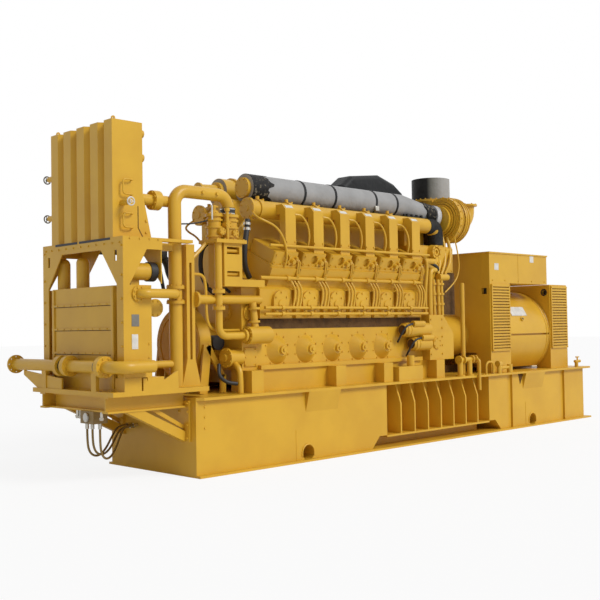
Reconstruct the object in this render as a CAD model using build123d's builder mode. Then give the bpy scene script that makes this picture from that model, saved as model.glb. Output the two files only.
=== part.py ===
from build123d import *
import math
import os

os.makedirs("parts", exist_ok=True)

# Base frame, millimetres
base_length = 8140
base_width = 1610
base_height = 850
sole_thickness = 25
deck_thickness = 30
flange_overhang = 65
end_overhang = 130
front_pod_length = 3110
front_seam_setback = 1475
mid_length = 2300
ledge_height = 170
ledge_thickness = 25
web_recess = 230
rib_count = 7
rib_thickness = 25
rib_taper = 90
rib_shoulder_share = 0.6
corner_cut_foot = 290
corner_cut_head = 150
lift_width = 194
lift_straight = 40
lift_sill = 60
front_lift_setback = 1669
rear_lift_setback = 6568
wedge_length = 545
wedge_drop = 240
front_wedge_setback = 1638
rear_wedge_setback = 6317
groove_depth = 30
groove_width = 140
groove_setbacks = (5886, 7400)

# Engine
cylinder_count = 6
cylinder_pitch = 474
first_throw_setback = 1380
bank_stagger = 70
bank_angle = 25
crank_height = 1410
head_deck_reach = 850
sump_bottom = 930
sump_half_width = 380
rail_bottom = 1100
rail_thickness = 50
rail_half_width = 660
crankcase_half_width = 600
crankcase_top = 1620
undercut_depth = 60
upper_half_width = 650
upper_bottom = 1690
upper_top = 2030
bay_gap = 70
bay_gap_depth = 55
head_deck_half_width = 290
valley_half_width = 60
valley_drop = 150
door_height = 1320
door_radius = 168
door_depth = 95
door_taper = 45
door_knob_radius = 48
door_knob_length = 30
jacket_width = 240
jacket_margin = 10
jacket_thickness = 40
head_length = 430
head_width = 520
head_thickness = 230
cover_length = 390
cover_width = 440
cover_thickness = 190
cover_fillet = 25
cover_lip = 18
cover_lip_thickness = 30
cover_recess_radius = 55
cover_recess_depth = 30
runner_offset = 85
runner_length = 170
runner_thickness = 100
runner_outer = 705
runner_shoulder = 60
manifold_spread = 455
manifold_height = 2990
manifold_radius = 105
manifold_setback = 1060
manifold_end_setback = 4660
manifold_bend = 150
collar_radius = 120
collar_length = 60
cap_radius = 128
cap_thickness = 35
valley_box_half_width = 200
exhaust_saddle_share = 0.8
exhaust_spread = 250
exhaust_height = 3265
exhaust_radius = 168
exhaust_setback = 1210
exhaust_length = 2890
exhaust_cap_radius = 125
exhaust_cap_length = 45
taper_length = 700
taper_drop = 115
taper_spread = 330
taper_end_radius = 125

# Turbochargers and rear end of the engine
rear_housing_setback = 4120
rear_housing_length = 540
rear_housing_half_width = 740
rear_housing_top = 1720
rear_housing_bevel_length = 230
rear_housing_bevel_drop = 270
cooler_half_width = 560
cooler_length = 850
cooler_top = 2700
turbo_spread = 400
turbo_height = 3110
turbo_radius = 330
turbo_setback = 4900
turbo_length = 300
turbo_flange = 80
scroll_radius = 115
nose_radius = 150
bearing_radius = 200
bearing_length = 100
turbo_foot_width = 120
turbo_foot_length = 120
inlet_radius = 105
inlet_drop = 30
inlet_run = 330
inlet_rise = 250
inlet_bend = 220
inlet_flange_radius = 150
inlet_flange_thickness = 25
outlet_half_length = 270
outlet_half_width = 230
outlet_bottom = 3050
outlet_top = 3420
outlet_flange_radius = 320
outlet_flange_thickness = 30
stack_radius = 285
stack_setback = 5165
stack_top = 3770
hump_fillet = 70
hump_points = (
    (3240, 3265), (3320, 3550), (3510, 3690), (4090, 3760), (4430, 3660), (4620, 3540), (4720, 3200),
)

# Front end of the engine
gear_case_length = 240
gear_case_half_width = 600
gear_case_bottom = 1100
gear_case_top = 2050
guard_setback = 380
guard_radius = 410
guard_length = 160
guard_hub_radius = 250
pump_radius = 100
pump_length = 330
pump_setback = 820
pump_spread = 700
pump_height = 1500
pump_foot_length = 160
pump_foot_height = 120
transfer_pipe_radius = 50
transfer_flange_radius = 85
transfer_flange_thickness = 30
transfer_pipe_height = 1905
thermostat_length = 260
thermostat_setback = 475
thermostat_half_width = 140
thermostat_body_top = 2530
thermostat_slots = ((2160, 2220), (2410, 2490))
thermostat_slot_margin = 40
thermostat_slot_depth = 130
thermostat_foot_rise = 80
thermostat_shelf = 40
thermostat_shelf_margin = 80
thermostat_cap_top = 2860
thermostat_cap_flange = 30
thermostat_cap_lip = 20
thermostat_cap_radii = (80, 105)
thermostat_cap_setbacks = (450, 650)
starter_radius = 95
starter_spread = 700
starter_heights = (1330, 1520)
starter_setbacks = (3790, 3610)
fuel_rail_radius = 22

# Feet under the engine
foot_length = 180
foot_width = 240
foot_setbacks = (910, 2290, 3190, 4300)
foot_web_recess = 40
foot_web_thickness = 30
pedestal_start = 3330
pedestal_end = 3830
pedestal_inner = 690
pedestal_outer = 840
pedestal_top = 1040
canister_radius = 50
canister_height = 140

# Generator
generator_setback = 5640
generator_half_width = 700
end_box_length = 530
generator_length = 2210
end_box_bottom = 1150
end_box_top = 2200
stator_radius = 690
stator_flat_height = 900
stator_slot = 28
stator_slot_depth = 40
box_hole_height = 2077
box_hole_spread = 600
box_hole_size = 92
box_hole_radius = 40
box_hole_depth = 60
top_box_height = 465
lid_thickness = 22
lid_overhang = 12
top_box_length = 1610
louvre_margin = 22
louvre_thickness = 25
louvre_count = 22
louvre_slot_share = 0.4
generator_foot_width = 260
coupling_radius = 300

# Front bracket that carries the cooling stand
bracket_reach = 1000
bracket_spread = 620
beam_height = 170
beam_width = 110
beam_web = 20
beam_flange = 20
beam_top = 918
bracket_plate_width = 200
bracket_plate_thickness = 30
bracket_plate_bottom = 380
brace_width = 90
brace_depth = 110
brace_start_reach = 780
tie_start_reach = 460
tie_depth = 45
cross_beam_setback = 930
platform_thickness = 48
platform_front = 1020
platform_half_width = 800
pad_length = 205
pad_width = 170
edge_plate = 20
edge_plate_points = ((-660, 0), (-660, 125), (-622, 125), (-604, 85), (-443, 75), (-224, 190), (-215, 0))

# Cooling stand and heat exchanger
stand_front = 885
stand_depth = 484
stand_half_width = 793
stand_bottom = 1100
stand_top = 2498
stand_plate = 12
leg_width = 118
stand_lintel = 85
gusset_drop = 360
gusset_run = 290
leg_slot_width = 42
leg_slot_height = 110
leg_slot_spread = 662
leg_slot_middle = 2342
side_plate_depth = 340
arch_top_margin = 90
arch_bottom = 2040
arch_foot_inset = 75
arch_head_inset = 290
rear_gusset_run = 430
rear_gusset_drop = 440
exchanger_top = 2040
exchanger_half_width = 612
exchanger_depth = 313
exchanger_ledge = 12
exchanger_ledge_height = 22
exchanger_ledge_shares = (0.344, 0.58, 0.817)
vessel_radius = 70
vessel_top = 2385
vessel_setback = 750
vessel_places = (180, 573)
drum_radius = 90
drum_spread = 660
drum_height = 2185
drum_start = 720
drum_end = 425
drum_stub_start = 700
drum_stub_end = 600
drum_stub_inner = 550

# Expansion tank
tank_front = 879
tank_depth = 372
tank_half_width = 608
tank_bottom = 2531
tank_top = 3748
tank_rib_count = 5
tank_rib_depth = 60
tank_rib_share = 0.55
tank_slope_share = 0.3
tank_gusset_rise = 470
eye_radius = 22
eye_hole_radius = 9
eye_thickness = 16
eye_inset = 60
eye_setback = 56
boss_radius = 42
boss_length = 40
boss_shares = (0.705, 0.913)
handle_radius = 9
handle_standoff = 45
handle_low = 655
handle_high = 780
handle_bend = 35
handle_shares = ((0.086, 0.206), (0.367, 0.494))

# Valves with handwheels on the tank
valve_body_radius = 32
valve_body_length = 110
stem_radius = 9
stem_length = 60
wheel_radius = 48
wheel_rim_radius = 7
wheel_hub_radius = 16
wheel_hub_length = 22
wheel_spoke_radius = 5
wheel_clearance = 0.05
far_valve_shares = (0.254, 0.615)
near_valve_share = 0.295
valve_setback = 840
near_valve_setback = 763

# Piping at the front
raw_pipe_radius = 63
raw_pipe_front = 1000
raw_pipe_height = 1215
raw_pipe_far_end = 1230
raw_pipe_side = 905
raw_pipe_bend = 130
raw_pipe_end_setback = 605
raw_flange_radius = 105
raw_flange_thickness = 24
raw_flange_pcd = 170
raw_flange_holes = 8
raw_flange_hole_radius = 9
raw_pipe_bore_radius = 52
big_flange_radius = 110
big_flange_length = 70
big_flange_places = (170, 20, -640)
saddle_width = 40
saddle_length = 90
saddle_places = (560, -440)
riser_radius = 72
riser_setback = 95
riser_spread = 600
feed_pipe_radius = 40
feed_pipe_height = 1215
riser_top = 3080
riser_bend = 150
riser_flange = 25
riser_flange_thickness = 35
riser_flange_gap = 14
riser_clamp_width = 80
riser_clamp_height = 80
bypass_radius = 48
bypass_height = 1952
bypass_setback = 700
bypass_standoff = 80
bypass_turn_setback = 300
bypass_bend = 60
bypass_flange_radius = 85
bypass_flange_thickness = 20
column_width = 110
column_depth = 120
column_top = 2500
column_front = 10
column_foot_flare = 70
column_foot_height = 290
column_slot_width = 30
column_slot_margin = 200
outlet_pipe_radius = 60
outlet_pipe_share = 0.3525
outlet_pipe_inset = 75
outlet_valve_radius = 105
outlet_valve_length = 90
water_pipe_radius = 42
water_pipe_setback = 420
water_pipe_bend = 100
water_flange_radius = 72
water_flange_thickness = 36
water_flange_shares = (0.28, 0.46)
post_radius = 32
post_setback = 4915
post_spread = 720
post_top = 2176

# Control box and hoses under the front bracket; the routes are points chosen by hand
control_box_front = 950
control_box_depth = 170
control_box_low_y = -320
control_box_high_y = -70
control_box_bottom = 620
hose_radius = 12
hose_fitting_radius = 20
hose_fitting_length = 60
hose_bend_share = 0.45
hose_starts = ((-900, -120), (-880, -190), (-840, -270))
hose_ends = ((400, 500), (340, 480), (280, 500))
hose_lead = 120
hose_drop_points = (
    ((0, 0, -130), (40, 35, -240), (150, 120, -310), (300, 240, -330), (450, 350, -280), (590, 450, -170)),
    ((0, 0, -125), (45, 35, -230), (155, 125, -295), (305, 245, -310), (450, 355, -265), (575, 450, -170)),
    ((0, 0, -140), (35, 35, -255), (135, 125, -335), (280, 250, -350), (420, 365, -290), (545, 465, -175)),
)

# Working values
overrun = 50
half_width = base_width / 2
flange_half = half_width + flange_overhang
front_x = -base_length / 2
rear_x = base_length / 2
seam_x = front_x + front_seam_setback
mid_start_x = front_x + front_pod_length
mid_end_x = mid_start_x + mid_length
deck_underside = base_height - deck_thickness
lean_sin = math.sin(math.radians(bank_angle))
lean_cos = math.cos(math.radians(bank_angle))
lean_tan = math.tan(math.radians(bank_angle))
first_throw_x = front_x + first_throw_setback
throw_xs = [first_throw_x + index * cylinder_pitch for index in range(cylinder_count)]
engine_front_x = throw_xs[0] - cylinder_pitch / 2 - bank_stagger
engine_rear_x = throw_xs[-1] + cylinder_pitch / 2 + bank_stagger
head_deck_y = head_deck_reach * lean_sin
head_deck_z = crank_height + head_deck_reach * lean_cos
inner_deck_z = head_deck_z + head_deck_half_width * lean_sin
tank_rise = tank_top - tank_bottom
stack_x = front_x + stack_setback


def block(x_low, x_high, y_low, y_high, z_low, z_high, mode=Mode.ADD):
    """A box between two opposite corners."""
    middle = ((x_low + x_high) / 2, (y_low + y_high) / 2, (z_low + z_high) / 2)
    with Locations(middle):
        Box(x_high - x_low, y_high - y_low, z_high - z_low, mode=mode)


def bar(start, end, radius, mode=Mode.ADD):
    """A round bar from one point to another."""
    along = Vector(end) - Vector(start)
    with BuildSketch(Plane(origin=start, z_dir=along)) as section:
        Circle(radius)
    extrude(section.sketch, amount=along.length, mode=mode)


def bent_pipe(points, radius, bend):
    """A round pipe along straight runs joined by tangent bends."""
    with BuildLine() as route:
        FilletPolyline(*points, radius=bend)
    with BuildSketch(Plane(origin=route.line @ 0, z_dir=route.line % 0)) as section:
        Circle(radius)
    sweep(section.sketch, path=route.line)


def plate_along_x(outline, x_start, length, mode=Mode.ADD):
    """An outline in Y and Z, drawn out along X."""
    with BuildSketch(Plane.YZ.offset(x_start)) as profile:
        Polygon(*outline, align=None)
    extrude(profile.sketch, amount=length, mode=mode)


def plate_along_y(outline, y_middle, length, mode=Mode.ADD):
    """An outline in X and Z, drawn out along Y to both sides of its middle."""
    with BuildSketch(Plane.XZ.offset(-y_middle)) as profile:
        Polygon(*outline, align=None)
    extrude(profile.sketch, amount=length / 2, both=True, mode=mode)


def bank_plane(x, side, reach):
    """The plane square to a cylinder's axis, at a reach from the crankshaft. side is -1 near, 1 far."""
    origin = (x, side * reach * lean_sin, crank_height + reach * lean_cos)
    return Plane(origin=origin, x_dir=(1, 0, 0), z_dir=(0, side * lean_sin, lean_cos))


def cylinder_x(throw_x, side):
    """A cylinder's place along the engine: the near bank is staggered backwards, the far one forwards."""
    return throw_x - side * bank_stagger


def lifting_hole(x):
    """An arched lifting hole right through the base."""
    with BuildSketch(Plane.XZ) as arch:
        with Locations((x, lift_sill + lift_straight / 2)):
            Rectangle(lift_width, lift_straight)
        with Locations((x, lift_sill + lift_straight)):
            Circle(lift_width / 2)
    extrude(arch.sketch, amount=half_width + overrun, both=True, mode=Mode.SUBTRACT)


def lifting_wedge(x_start):
    """The sloping filler between the deck's edge and the side plate over a lifting hole, on both sides."""
    for side in (-1, 1):
        foot = (side * half_width, deck_underside - wedge_drop)
        corner = (side * half_width, deck_underside)
        edge = (side * flange_half, deck_underside)
        plate_along_x((foot, corner, edge), x_start, wedge_length)


# Base: deck plate, closed front end, two closed pods and the ribbed middle, each on its own sole plate
with BuildPart() as base_deck:
    with BuildSketch(Plane.XY.offset(deck_underside)) as deck_outline:
        with Locations((end_overhang / 2, 0)):
            Rectangle(base_length + end_overhang, flange_half * 2)
        chamfer(deck_outline.vertices().group_by(Axis.X)[0], length=flange_overhang)
    extrude(amount=deck_thickness)
base_deck.part.label = "base_deck"
export_step(base_deck.part, "parts/base_deck.step")

with BuildPart() as base_front_end:
    block(front_x, seam_x, -half_width, half_width, sole_thickness, deck_underside)
    block(front_x, seam_x, -flange_half, flange_half, 0, sole_thickness)
base_front_end.part.label = "base_front_end"
export_step(base_front_end.part, "parts/base_front_end.step")

with BuildPart() as base_front_pod:
    block(seam_x, mid_start_x, -half_width, half_width, sole_thickness, deck_underside)
    lower_corner = (
        (mid_start_x - corner_cut_foot, sole_thickness),
        (mid_start_x - corner_cut_head, ledge_height),
        (mid_start_x, ledge_height),
        (mid_start_x, sole_thickness),
    )
    plate_along_y(lower_corner, 0, base_width, mode=Mode.SUBTRACT)
    lifting_hole(front_x + front_lift_setback)
    lifting_wedge(front_x + front_wedge_setback)
    block(seam_x, mid_start_x, -flange_half, flange_half, 0, sole_thickness)
base_front_pod.part.label = "base_front_pod"
export_step(base_front_pod.part, "parts/base_front_pod.step")

with BuildPart() as base_rear_pod:
    block(mid_end_x, rear_x, -half_width, half_width, sole_thickness, deck_underside)
    lower_corner = (
        (mid_end_x + corner_cut_foot, sole_thickness),
        (mid_end_x + corner_cut_head, ledge_height),
        (mid_end_x, ledge_height),
        (mid_end_x, sole_thickness),
    )
    plate_along_y(lower_corner, 0, base_width, mode=Mode.SUBTRACT)
    lifting_hole(front_x + rear_lift_setback)
    lifting_wedge(front_x + rear_wedge_setback)
    block(mid_end_x, rear_x + end_overhang, -flange_half, flange_half, 0, sole_thickness)
    for setback in groove_setbacks:
        for side in (-1, 1):
            inner = side * (half_width - groove_depth)
            outer = side * (half_width + overrun)
            block(front_x + setback, front_x + setback + groove_width, min(inner, outer),
                  max(inner, outer), sole_thickness, deck_underside, mode=Mode.SUBTRACT)
base_rear_pod.part.label = "base_rear_pod"
export_step(base_rear_pod.part, "parts/base_rear_pod.step")

with BuildPart() as base_middle:
    web_half = half_width - web_recess
    block(mid_start_x, mid_end_x, -web_half, web_half, sole_thickness, deck_underside)
    block(mid_start_x, mid_end_x, -flange_half, flange_half, 0, sole_thickness)
    block(mid_start_x, mid_end_x, -half_width, half_width, ledge_height - ledge_thickness, ledge_height)
    shoulder = ledge_height + (deck_underside - ledge_height) * rib_shoulder_share
    rib_outline = (
        (-half_width, ledge_height),
        (-half_width, shoulder),
        (-half_width + rib_taper, deck_underside),
        (half_width - rib_taper, deck_underside),
        (half_width, shoulder),
        (half_width, ledge_height),
    )
    rib_pitch = mid_length / (rib_count + 1)
    for index in range(rib_count):
        rib_x = mid_start_x + (index + 1) * rib_pitch - rib_thickness / 2
        plate_along_x(rib_outline, rib_x, rib_thickness)
base_middle.part.label = "base_middle"
export_step(base_middle.part, "parts/base_middle.step")

# Engine feet on the deck joined by a web, and the low pedestal with its canister beside the last of them
with BuildPart() as engine_feet:
    for setback in foot_setbacks:
        foot_x = front_x + setback
        block(foot_x - foot_length / 2, foot_x + foot_length / 2, -rail_half_width - foot_width / 2,
              -rail_half_width + foot_width, base_height, rail_bottom)
    web_outer = rail_half_width - foot_web_recess
    block(front_x + foot_setbacks[0], front_x + foot_setbacks[-1], -web_outer,
          -web_outer + foot_web_thickness, base_height, rail_bottom)
    block(front_x + pedestal_start, front_x + pedestal_end, -pedestal_outer, -pedestal_inner, base_height,
          pedestal_top)
    canister_x = front_x + (pedestal_start + pedestal_end * 2) / 3
    canister_y = -(pedestal_inner + pedestal_outer) / 2
    bar((canister_x, canister_y, pedestal_top), (canister_x, canister_y, pedestal_top + canister_height),
        canister_radius)
    mirror(about=Plane.XZ)
engine_feet.part.label = "engine_feet"
export_step(engine_feet.part, "parts/engine_feet.step")

# Engine block: sump, mounting rail, crankcase, upper block with a gap between bays, two inclined decks
with BuildPart() as engine_block:
    outer_deck = (
        head_deck_y + head_deck_half_width * lean_cos,
        head_deck_z - head_deck_half_width * lean_sin,
    )
    inner_deck = (head_deck_y - head_deck_half_width * lean_cos, inner_deck_z)
    half_outline = (
        (sump_half_width, sump_bottom),
        (sump_half_width, rail_bottom),
        (rail_half_width, rail_bottom),
        (rail_half_width, rail_bottom + rail_thickness),
        (crankcase_half_width, rail_bottom + rail_thickness),
        (crankcase_half_width, crankcase_top),
        (crankcase_half_width - undercut_depth, crankcase_top),
        (crankcase_half_width - undercut_depth, upper_bottom),
        (upper_half_width, upper_bottom),
        (upper_half_width, upper_top),
        outer_deck,
        inner_deck,
        (valley_half_width, inner_deck_z - valley_drop),
    )
    far_outline = list(half_outline)
    near_outline = [(-y, z) for y, z in reversed(half_outline)]
    plate_along_x(far_outline + near_outline, engine_front_x, engine_rear_x - engine_front_x)
    gap_floor = upper_half_width - bay_gap_depth
    for throw_x in throw_xs[1:]:
        gap_x = throw_x - cylinder_pitch / 2
        for low, high in ((-upper_half_width, -gap_floor), (gap_floor, upper_half_width)):
            block(gap_x - bay_gap / 2, gap_x + bay_gap / 2, low, high, upper_bottom, upper_top,
                  mode=Mode.SUBTRACT)
engine_block.part.label = "engine_block"
export_step(engine_block.part, "parts/engine_block.step")

# Crankcase doors: shallow cones with a knob, on every bay but the last, which the starters cover
with BuildPart() as crankcase_doors:
    for throw_x in throw_xs[:-1]:
        with BuildSketch(Plane.XZ.offset(crankcase_half_width)):
            with Locations((throw_x, door_height)):
                Circle(door_radius)
        extrude(amount=door_depth, taper=door_taper)
        knob_y = -crankcase_half_width - door_depth
        bar((throw_x, knob_y, door_height), (throw_x, knob_y - door_knob_length, door_height),
            door_knob_radius)
    mirror(about=Plane.XZ)
crankcase_doors.part.label = "crankcase_doors"
export_step(crankcase_doors.part, "parts/crankcase_doors.step")

with BuildPart() as water_jacket_covers:
    for throw_x in throw_xs:
        with BuildSketch(Plane.XZ.offset(upper_half_width)):
            with Locations((throw_x, (upper_bottom + upper_top) / 2)):
                SlotOverall(upper_top - upper_bottom - jacket_margin * 2, jacket_width, rotation=90)
        extrude(amount=jacket_thickness)
    mirror(about=Plane.XZ)
water_jacket_covers.part.label = "water_jacket_covers"
export_step(water_jacket_covers.part, "parts/water_jacket_covers.step")

with BuildPart() as cylinder_heads:
    for side in (-1, 1):
        for throw_x in throw_xs:
            with BuildSketch(bank_plane(cylinder_x(throw_x, side), side, head_deck_reach)):
                Rectangle(head_length, head_width)
            extrude(amount=head_thickness)
cylinder_heads.part.label = "cylinder_heads"
export_step(cylinder_heads.part, "parts/cylinder_heads.step")

# Rocker covers: a lip on the head, a rounded box and a round recess in the outer side
with BuildPart() as rocker_covers:
    for side in (-1, 1):
        for throw_x in throw_xs:
            seat = bank_plane(cylinder_x(throw_x, side), side, head_deck_reach + head_thickness)
            with BuildSketch(seat):
                RectangleRounded(cover_length + cover_lip * 2, cover_width + cover_lip * 2, cover_fillet)
            extrude(amount=cover_lip_thickness)
            with BuildSketch(seat):
                RectangleRounded(cover_length, cover_width, cover_fillet)
            extrude(amount=cover_thickness)
            recess_z = (cover_lip_thickness + cover_thickness) / 2
            recess_out = seat.from_local_coords((0, side * (cover_width / 2 + overrun), recess_z))
            recess_in = seat.from_local_coords((0, side * (cover_width / 2 - cover_recess_depth), recess_z))
            bar(recess_out, recess_in, cover_recess_radius, mode=Mode.SUBTRACT)
rocker_covers.part.label = "rocker_covers"
export_step(rocker_covers.part, "parts/rocker_covers.step")

# Air manifolds along both banks, bent down into the air cooler, and the flat runners that feed the heads
with BuildPart() as air_manifolds:
    manifold_x = front_x + manifold_setback
    manifold_end_x = front_x + manifold_end_setback
    bent_pipe(((manifold_x, -manifold_spread, manifold_height),
               (manifold_end_x, -manifold_spread, manifold_height),
               (manifold_end_x, -manifold_spread, cooler_top)), manifold_radius, manifold_bend)
    bar((manifold_x, -manifold_spread, manifold_height),
        (manifold_x + cap_thickness, -manifold_spread, manifold_height), cap_radius)
    for throw_x in throw_xs:
        collar_x = throw_x - cylinder_pitch / 2 + collar_length
        bar((collar_x, -manifold_spread, manifold_height),
            (collar_x + collar_length, -manifold_spread, manifold_height), collar_radius)
    mirror(about=Plane.XZ)
air_manifolds.part.label = "air_manifolds"
export_step(air_manifolds.part, "parts/air_manifolds.step")

with BuildPart() as intake_runners:
    cover_reach = head_deck_reach + head_thickness + cover_thickness
    cover_top_z = crank_height + cover_reach / lean_cos
    for side in (-1, 1):
        inner_y = runner_outer - runner_thickness
        runner_outline = (
            (side * runner_outer, cover_top_z - runner_outer * lean_tan),
            (side * runner_outer, manifold_height),
            (side * (runner_outer - runner_shoulder), manifold_height + runner_shoulder),
            (side * manifold_spread, manifold_height + runner_shoulder),
            (side * manifold_spread, manifold_height - runner_shoulder),
            (side * inner_y, manifold_height - runner_shoulder),
            (side * inner_y, cover_top_z - inner_y * lean_tan),
        )
        for throw_x in throw_xs:
            runner_x = cylinder_x(throw_x, side) + runner_offset - runner_length / 2
            plate_along_x(runner_outline, runner_x, runner_length)
    add(air_manifolds.part, mode=Mode.SUBTRACT)
intake_runners.part.label = "intake_runners"
export_step(intake_runners.part, "parts/intake_runners.step")

# Exhaust: manifold in the valley with its front caps
exhaust_x = front_x + exhaust_setback
with BuildPart() as exhaust_manifold:
    block(engine_front_x, engine_rear_x, -valley_box_half_width, valley_box_half_width, inner_deck_z,
          exhaust_height - exhaust_radius * exhaust_saddle_share)
    for side in (-1, 1):
        bar((engine_front_x, side * exhaust_spread, exhaust_height),
            (engine_rear_x, side * exhaust_spread, exhaust_height), exhaust_radius, mode=Mode.SUBTRACT)
    add(cylinder_heads.part, mode=Mode.SUBTRACT)
    add(rocker_covers.part, mode=Mode.SUBTRACT)
    for side in (-1, 1):
        bar((exhaust_x - exhaust_cap_length, side * exhaust_spread, exhaust_height),
            (exhaust_x, side * exhaust_spread, exhaust_height), exhaust_cap_radius)
exhaust_manifold.part.label = "exhaust_manifold"
export_step(exhaust_manifold.part, "parts/exhaust_manifold.step")

# Rear end of the engine: flywheel housing with a bevelled shoulder, and the charge air cooler on it
with BuildPart() as flywheel_housing:
    rear_housing_x = front_x + rear_housing_setback
    rear_housing_end = rear_housing_x + rear_housing_length
    block(engine_rear_x, rear_housing_x, -crankcase_half_width, crankcase_half_width, rail_bottom,
          rear_housing_top)
    housing_outline = (
        (rear_housing_x, rail_bottom),
        (rear_housing_end, rail_bottom),
        (rear_housing_end, rear_housing_top - rear_housing_bevel_drop),
        (rear_housing_end - rear_housing_bevel_length, rear_housing_top),
        (rear_housing_x, rear_housing_top),
    )
    plate_along_y(housing_outline, 0, rear_housing_half_width * 2)
flywheel_housing.part.label = "flywheel_housing"
export_step(flywheel_housing.part, "parts/flywheel_housing.step")

with BuildPart() as air_cooler:
    block(engine_rear_x, engine_rear_x + cooler_length, -cooler_half_width, cooler_half_width,
          rear_housing_top, cooler_top)
air_cooler.part.label = "air_cooler"
export_step(air_cooler.part, "parts/air_cooler.step")

# Turbochargers: bolted flange, scroll and nose on each, joined by the shared gas outlet under the stack
turbo_x = front_x + turbo_setback
turbo_end_x = turbo_x + turbo_length
with BuildPart() as turbochargers:
    scroll_x = turbo_x + turbo_flange + scroll_radius
    bar((turbo_x, -turbo_spread, turbo_height), (turbo_x + turbo_flange, -turbo_spread, turbo_height),
        turbo_radius)
    with Locations(Plane(origin=(scroll_x, -turbo_spread, turbo_height), z_dir=(1, 0, 0)).location):
        Torus(turbo_radius - scroll_radius, scroll_radius)
    bar((turbo_x, -turbo_spread, turbo_height), (scroll_x, -turbo_spread, turbo_height),
        turbo_radius - scroll_radius)
    bar((turbo_x, -turbo_spread, turbo_height), (turbo_end_x, -turbo_spread, turbo_height), nose_radius)
    bar((turbo_x - bearing_length, -turbo_spread, turbo_height), (turbo_x, -turbo_spread, turbo_height),
        bearing_radius)
    block(turbo_x - turbo_foot_length, turbo_x, -turbo_spread - turbo_foot_width / 2,
          -turbo_spread + turbo_foot_width / 2, cooler_top, turbo_height - bearing_radius / 2)
    mirror(about=Plane.XZ)
    block(stack_x - outlet_half_length, stack_x + outlet_half_length, -outlet_half_width, outlet_half_width,
          outlet_bottom, outlet_top)
    bar((stack_x, 0, outlet_top), (stack_x, 0, outlet_top + outlet_flange_thickness), outlet_flange_radius)
turbochargers.part.label = "turbochargers"
export_step(turbochargers.part, "parts/turbochargers.step")

# Lagging: a blanket on each exhaust run, tapering to its turbocharger, the hump on the far one, the stack
with BuildPart() as hump:
    hump_outline = [(front_x + setback, height) for setback, height in hump_points]
    plate_along_y(hump_outline, exhaust_spread, exhaust_radius * 2)
    hump_sides = hump.faces().filter_by(Axis.Y)
    fillet(hump_sides.edges(), radius=hump_fillet)

with BuildPart() as exhaust_blankets:
    exhaust_end_x = exhaust_x + exhaust_length
    taper_end_x = exhaust_end_x + taper_length
    for side in (-1, 1):
        bar((exhaust_x, side * exhaust_spread, exhaust_height),
            (exhaust_end_x, side * exhaust_spread, exhaust_height), exhaust_radius)
        with BuildSketch(Plane.YZ.offset(exhaust_end_x)) as taper_start:
            with Locations((side * exhaust_spread, exhaust_height)):
                Circle(exhaust_radius)
        with BuildSketch(Plane.YZ.offset(taper_end_x)) as taper_end:
            with Locations((side * taper_spread, exhaust_height - taper_drop)):
                Circle(taper_end_radius)
        loft((taper_start.sketch, taper_end.sketch))
    add(hump.part)
    bar((stack_x, 0, outlet_top + outlet_flange_thickness), (stack_x, 0, stack_top), stack_radius)
exhaust_blankets.part.label = "exhaust_blankets"
export_step(exhaust_blankets.part, "parts/exhaust_blankets.step")

with BuildPart() as turbo_inlets:
    inlet_z = turbo_height - inlet_drop
    inlet_corner = (turbo_end_x + inlet_run, -turbo_spread, inlet_z)
    inlet_mouth = (inlet_corner[0], -turbo_spread, turbo_height + inlet_rise)
    bent_pipe(((turbo_end_x, -turbo_spread, inlet_z), inlet_corner, inlet_mouth), inlet_radius, inlet_bend)
    bar(inlet_mouth, (inlet_mouth[0], inlet_mouth[1], inlet_mouth[2] + inlet_flange_thickness),
        inlet_flange_radius)
    mirror(about=Plane.XZ)
turbo_inlets.part.label = "turbo_inlets"
export_step(turbo_inlets.part, "parts/turbo_inlets.step")

# Front end of the engine: gear case, crankshaft guard and water pumps
gear_front_x = engine_front_x - gear_case_length
with BuildPart() as gear_case:
    block(gear_front_x, engine_front_x, -gear_case_half_width, gear_case_half_width, gear_case_bottom,
          gear_case_top)
gear_case.part.label = "gear_case"
export_step(gear_case.part, "parts/gear_case.step")

with BuildPart() as crankshaft_guard:
    guard_x = front_x + guard_setback
    guard_end_x = guard_x + guard_length
    bar((guard_x, 0, crank_height), (guard_end_x, 0, crank_height), guard_radius)
    bar((guard_end_x, 0, crank_height), (gear_front_x, 0, crank_height), guard_hub_radius)
crankshaft_guard.part.label = "crankshaft_guard"
export_step(crankshaft_guard.part, "parts/crankshaft_guard.step")

# Generator
generator_x = front_x + generator_setback
generator_end_x = generator_x + generator_length
with BuildPart() as generator_end_boxes:
    for low, high in ((generator_x, generator_x + end_box_length),
                      (generator_end_x - end_box_length, generator_end_x)):
        block(low, high, -generator_half_width, generator_half_width, end_box_bottom, end_box_top)
        for side in (-1, 1):
            foot_y = side * (generator_half_width - generator_foot_width / 2)
            block(low, high, foot_y - generator_foot_width / 2, foot_y + generator_foot_width / 2,
                  base_height, end_box_bottom)
    for side in (-1, 1):
        hole_y = side * box_hole_spread
        with Locations((generator_x, hole_y, box_hole_height)):
            Box(box_hole_depth * 2, box_hole_size, box_hole_size, mode=Mode.SUBTRACT)
        rear_box_x = generator_end_x - end_box_length
        bar((rear_box_x, hole_y, box_hole_height), (rear_box_x + box_hole_depth, hole_y, box_hole_height),
            box_hole_radius, mode=Mode.SUBTRACT)
generator_end_boxes.part.label = "generator_end_boxes"
export_step(generator_end_boxes.part, "parts/generator_end_boxes.step")

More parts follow.
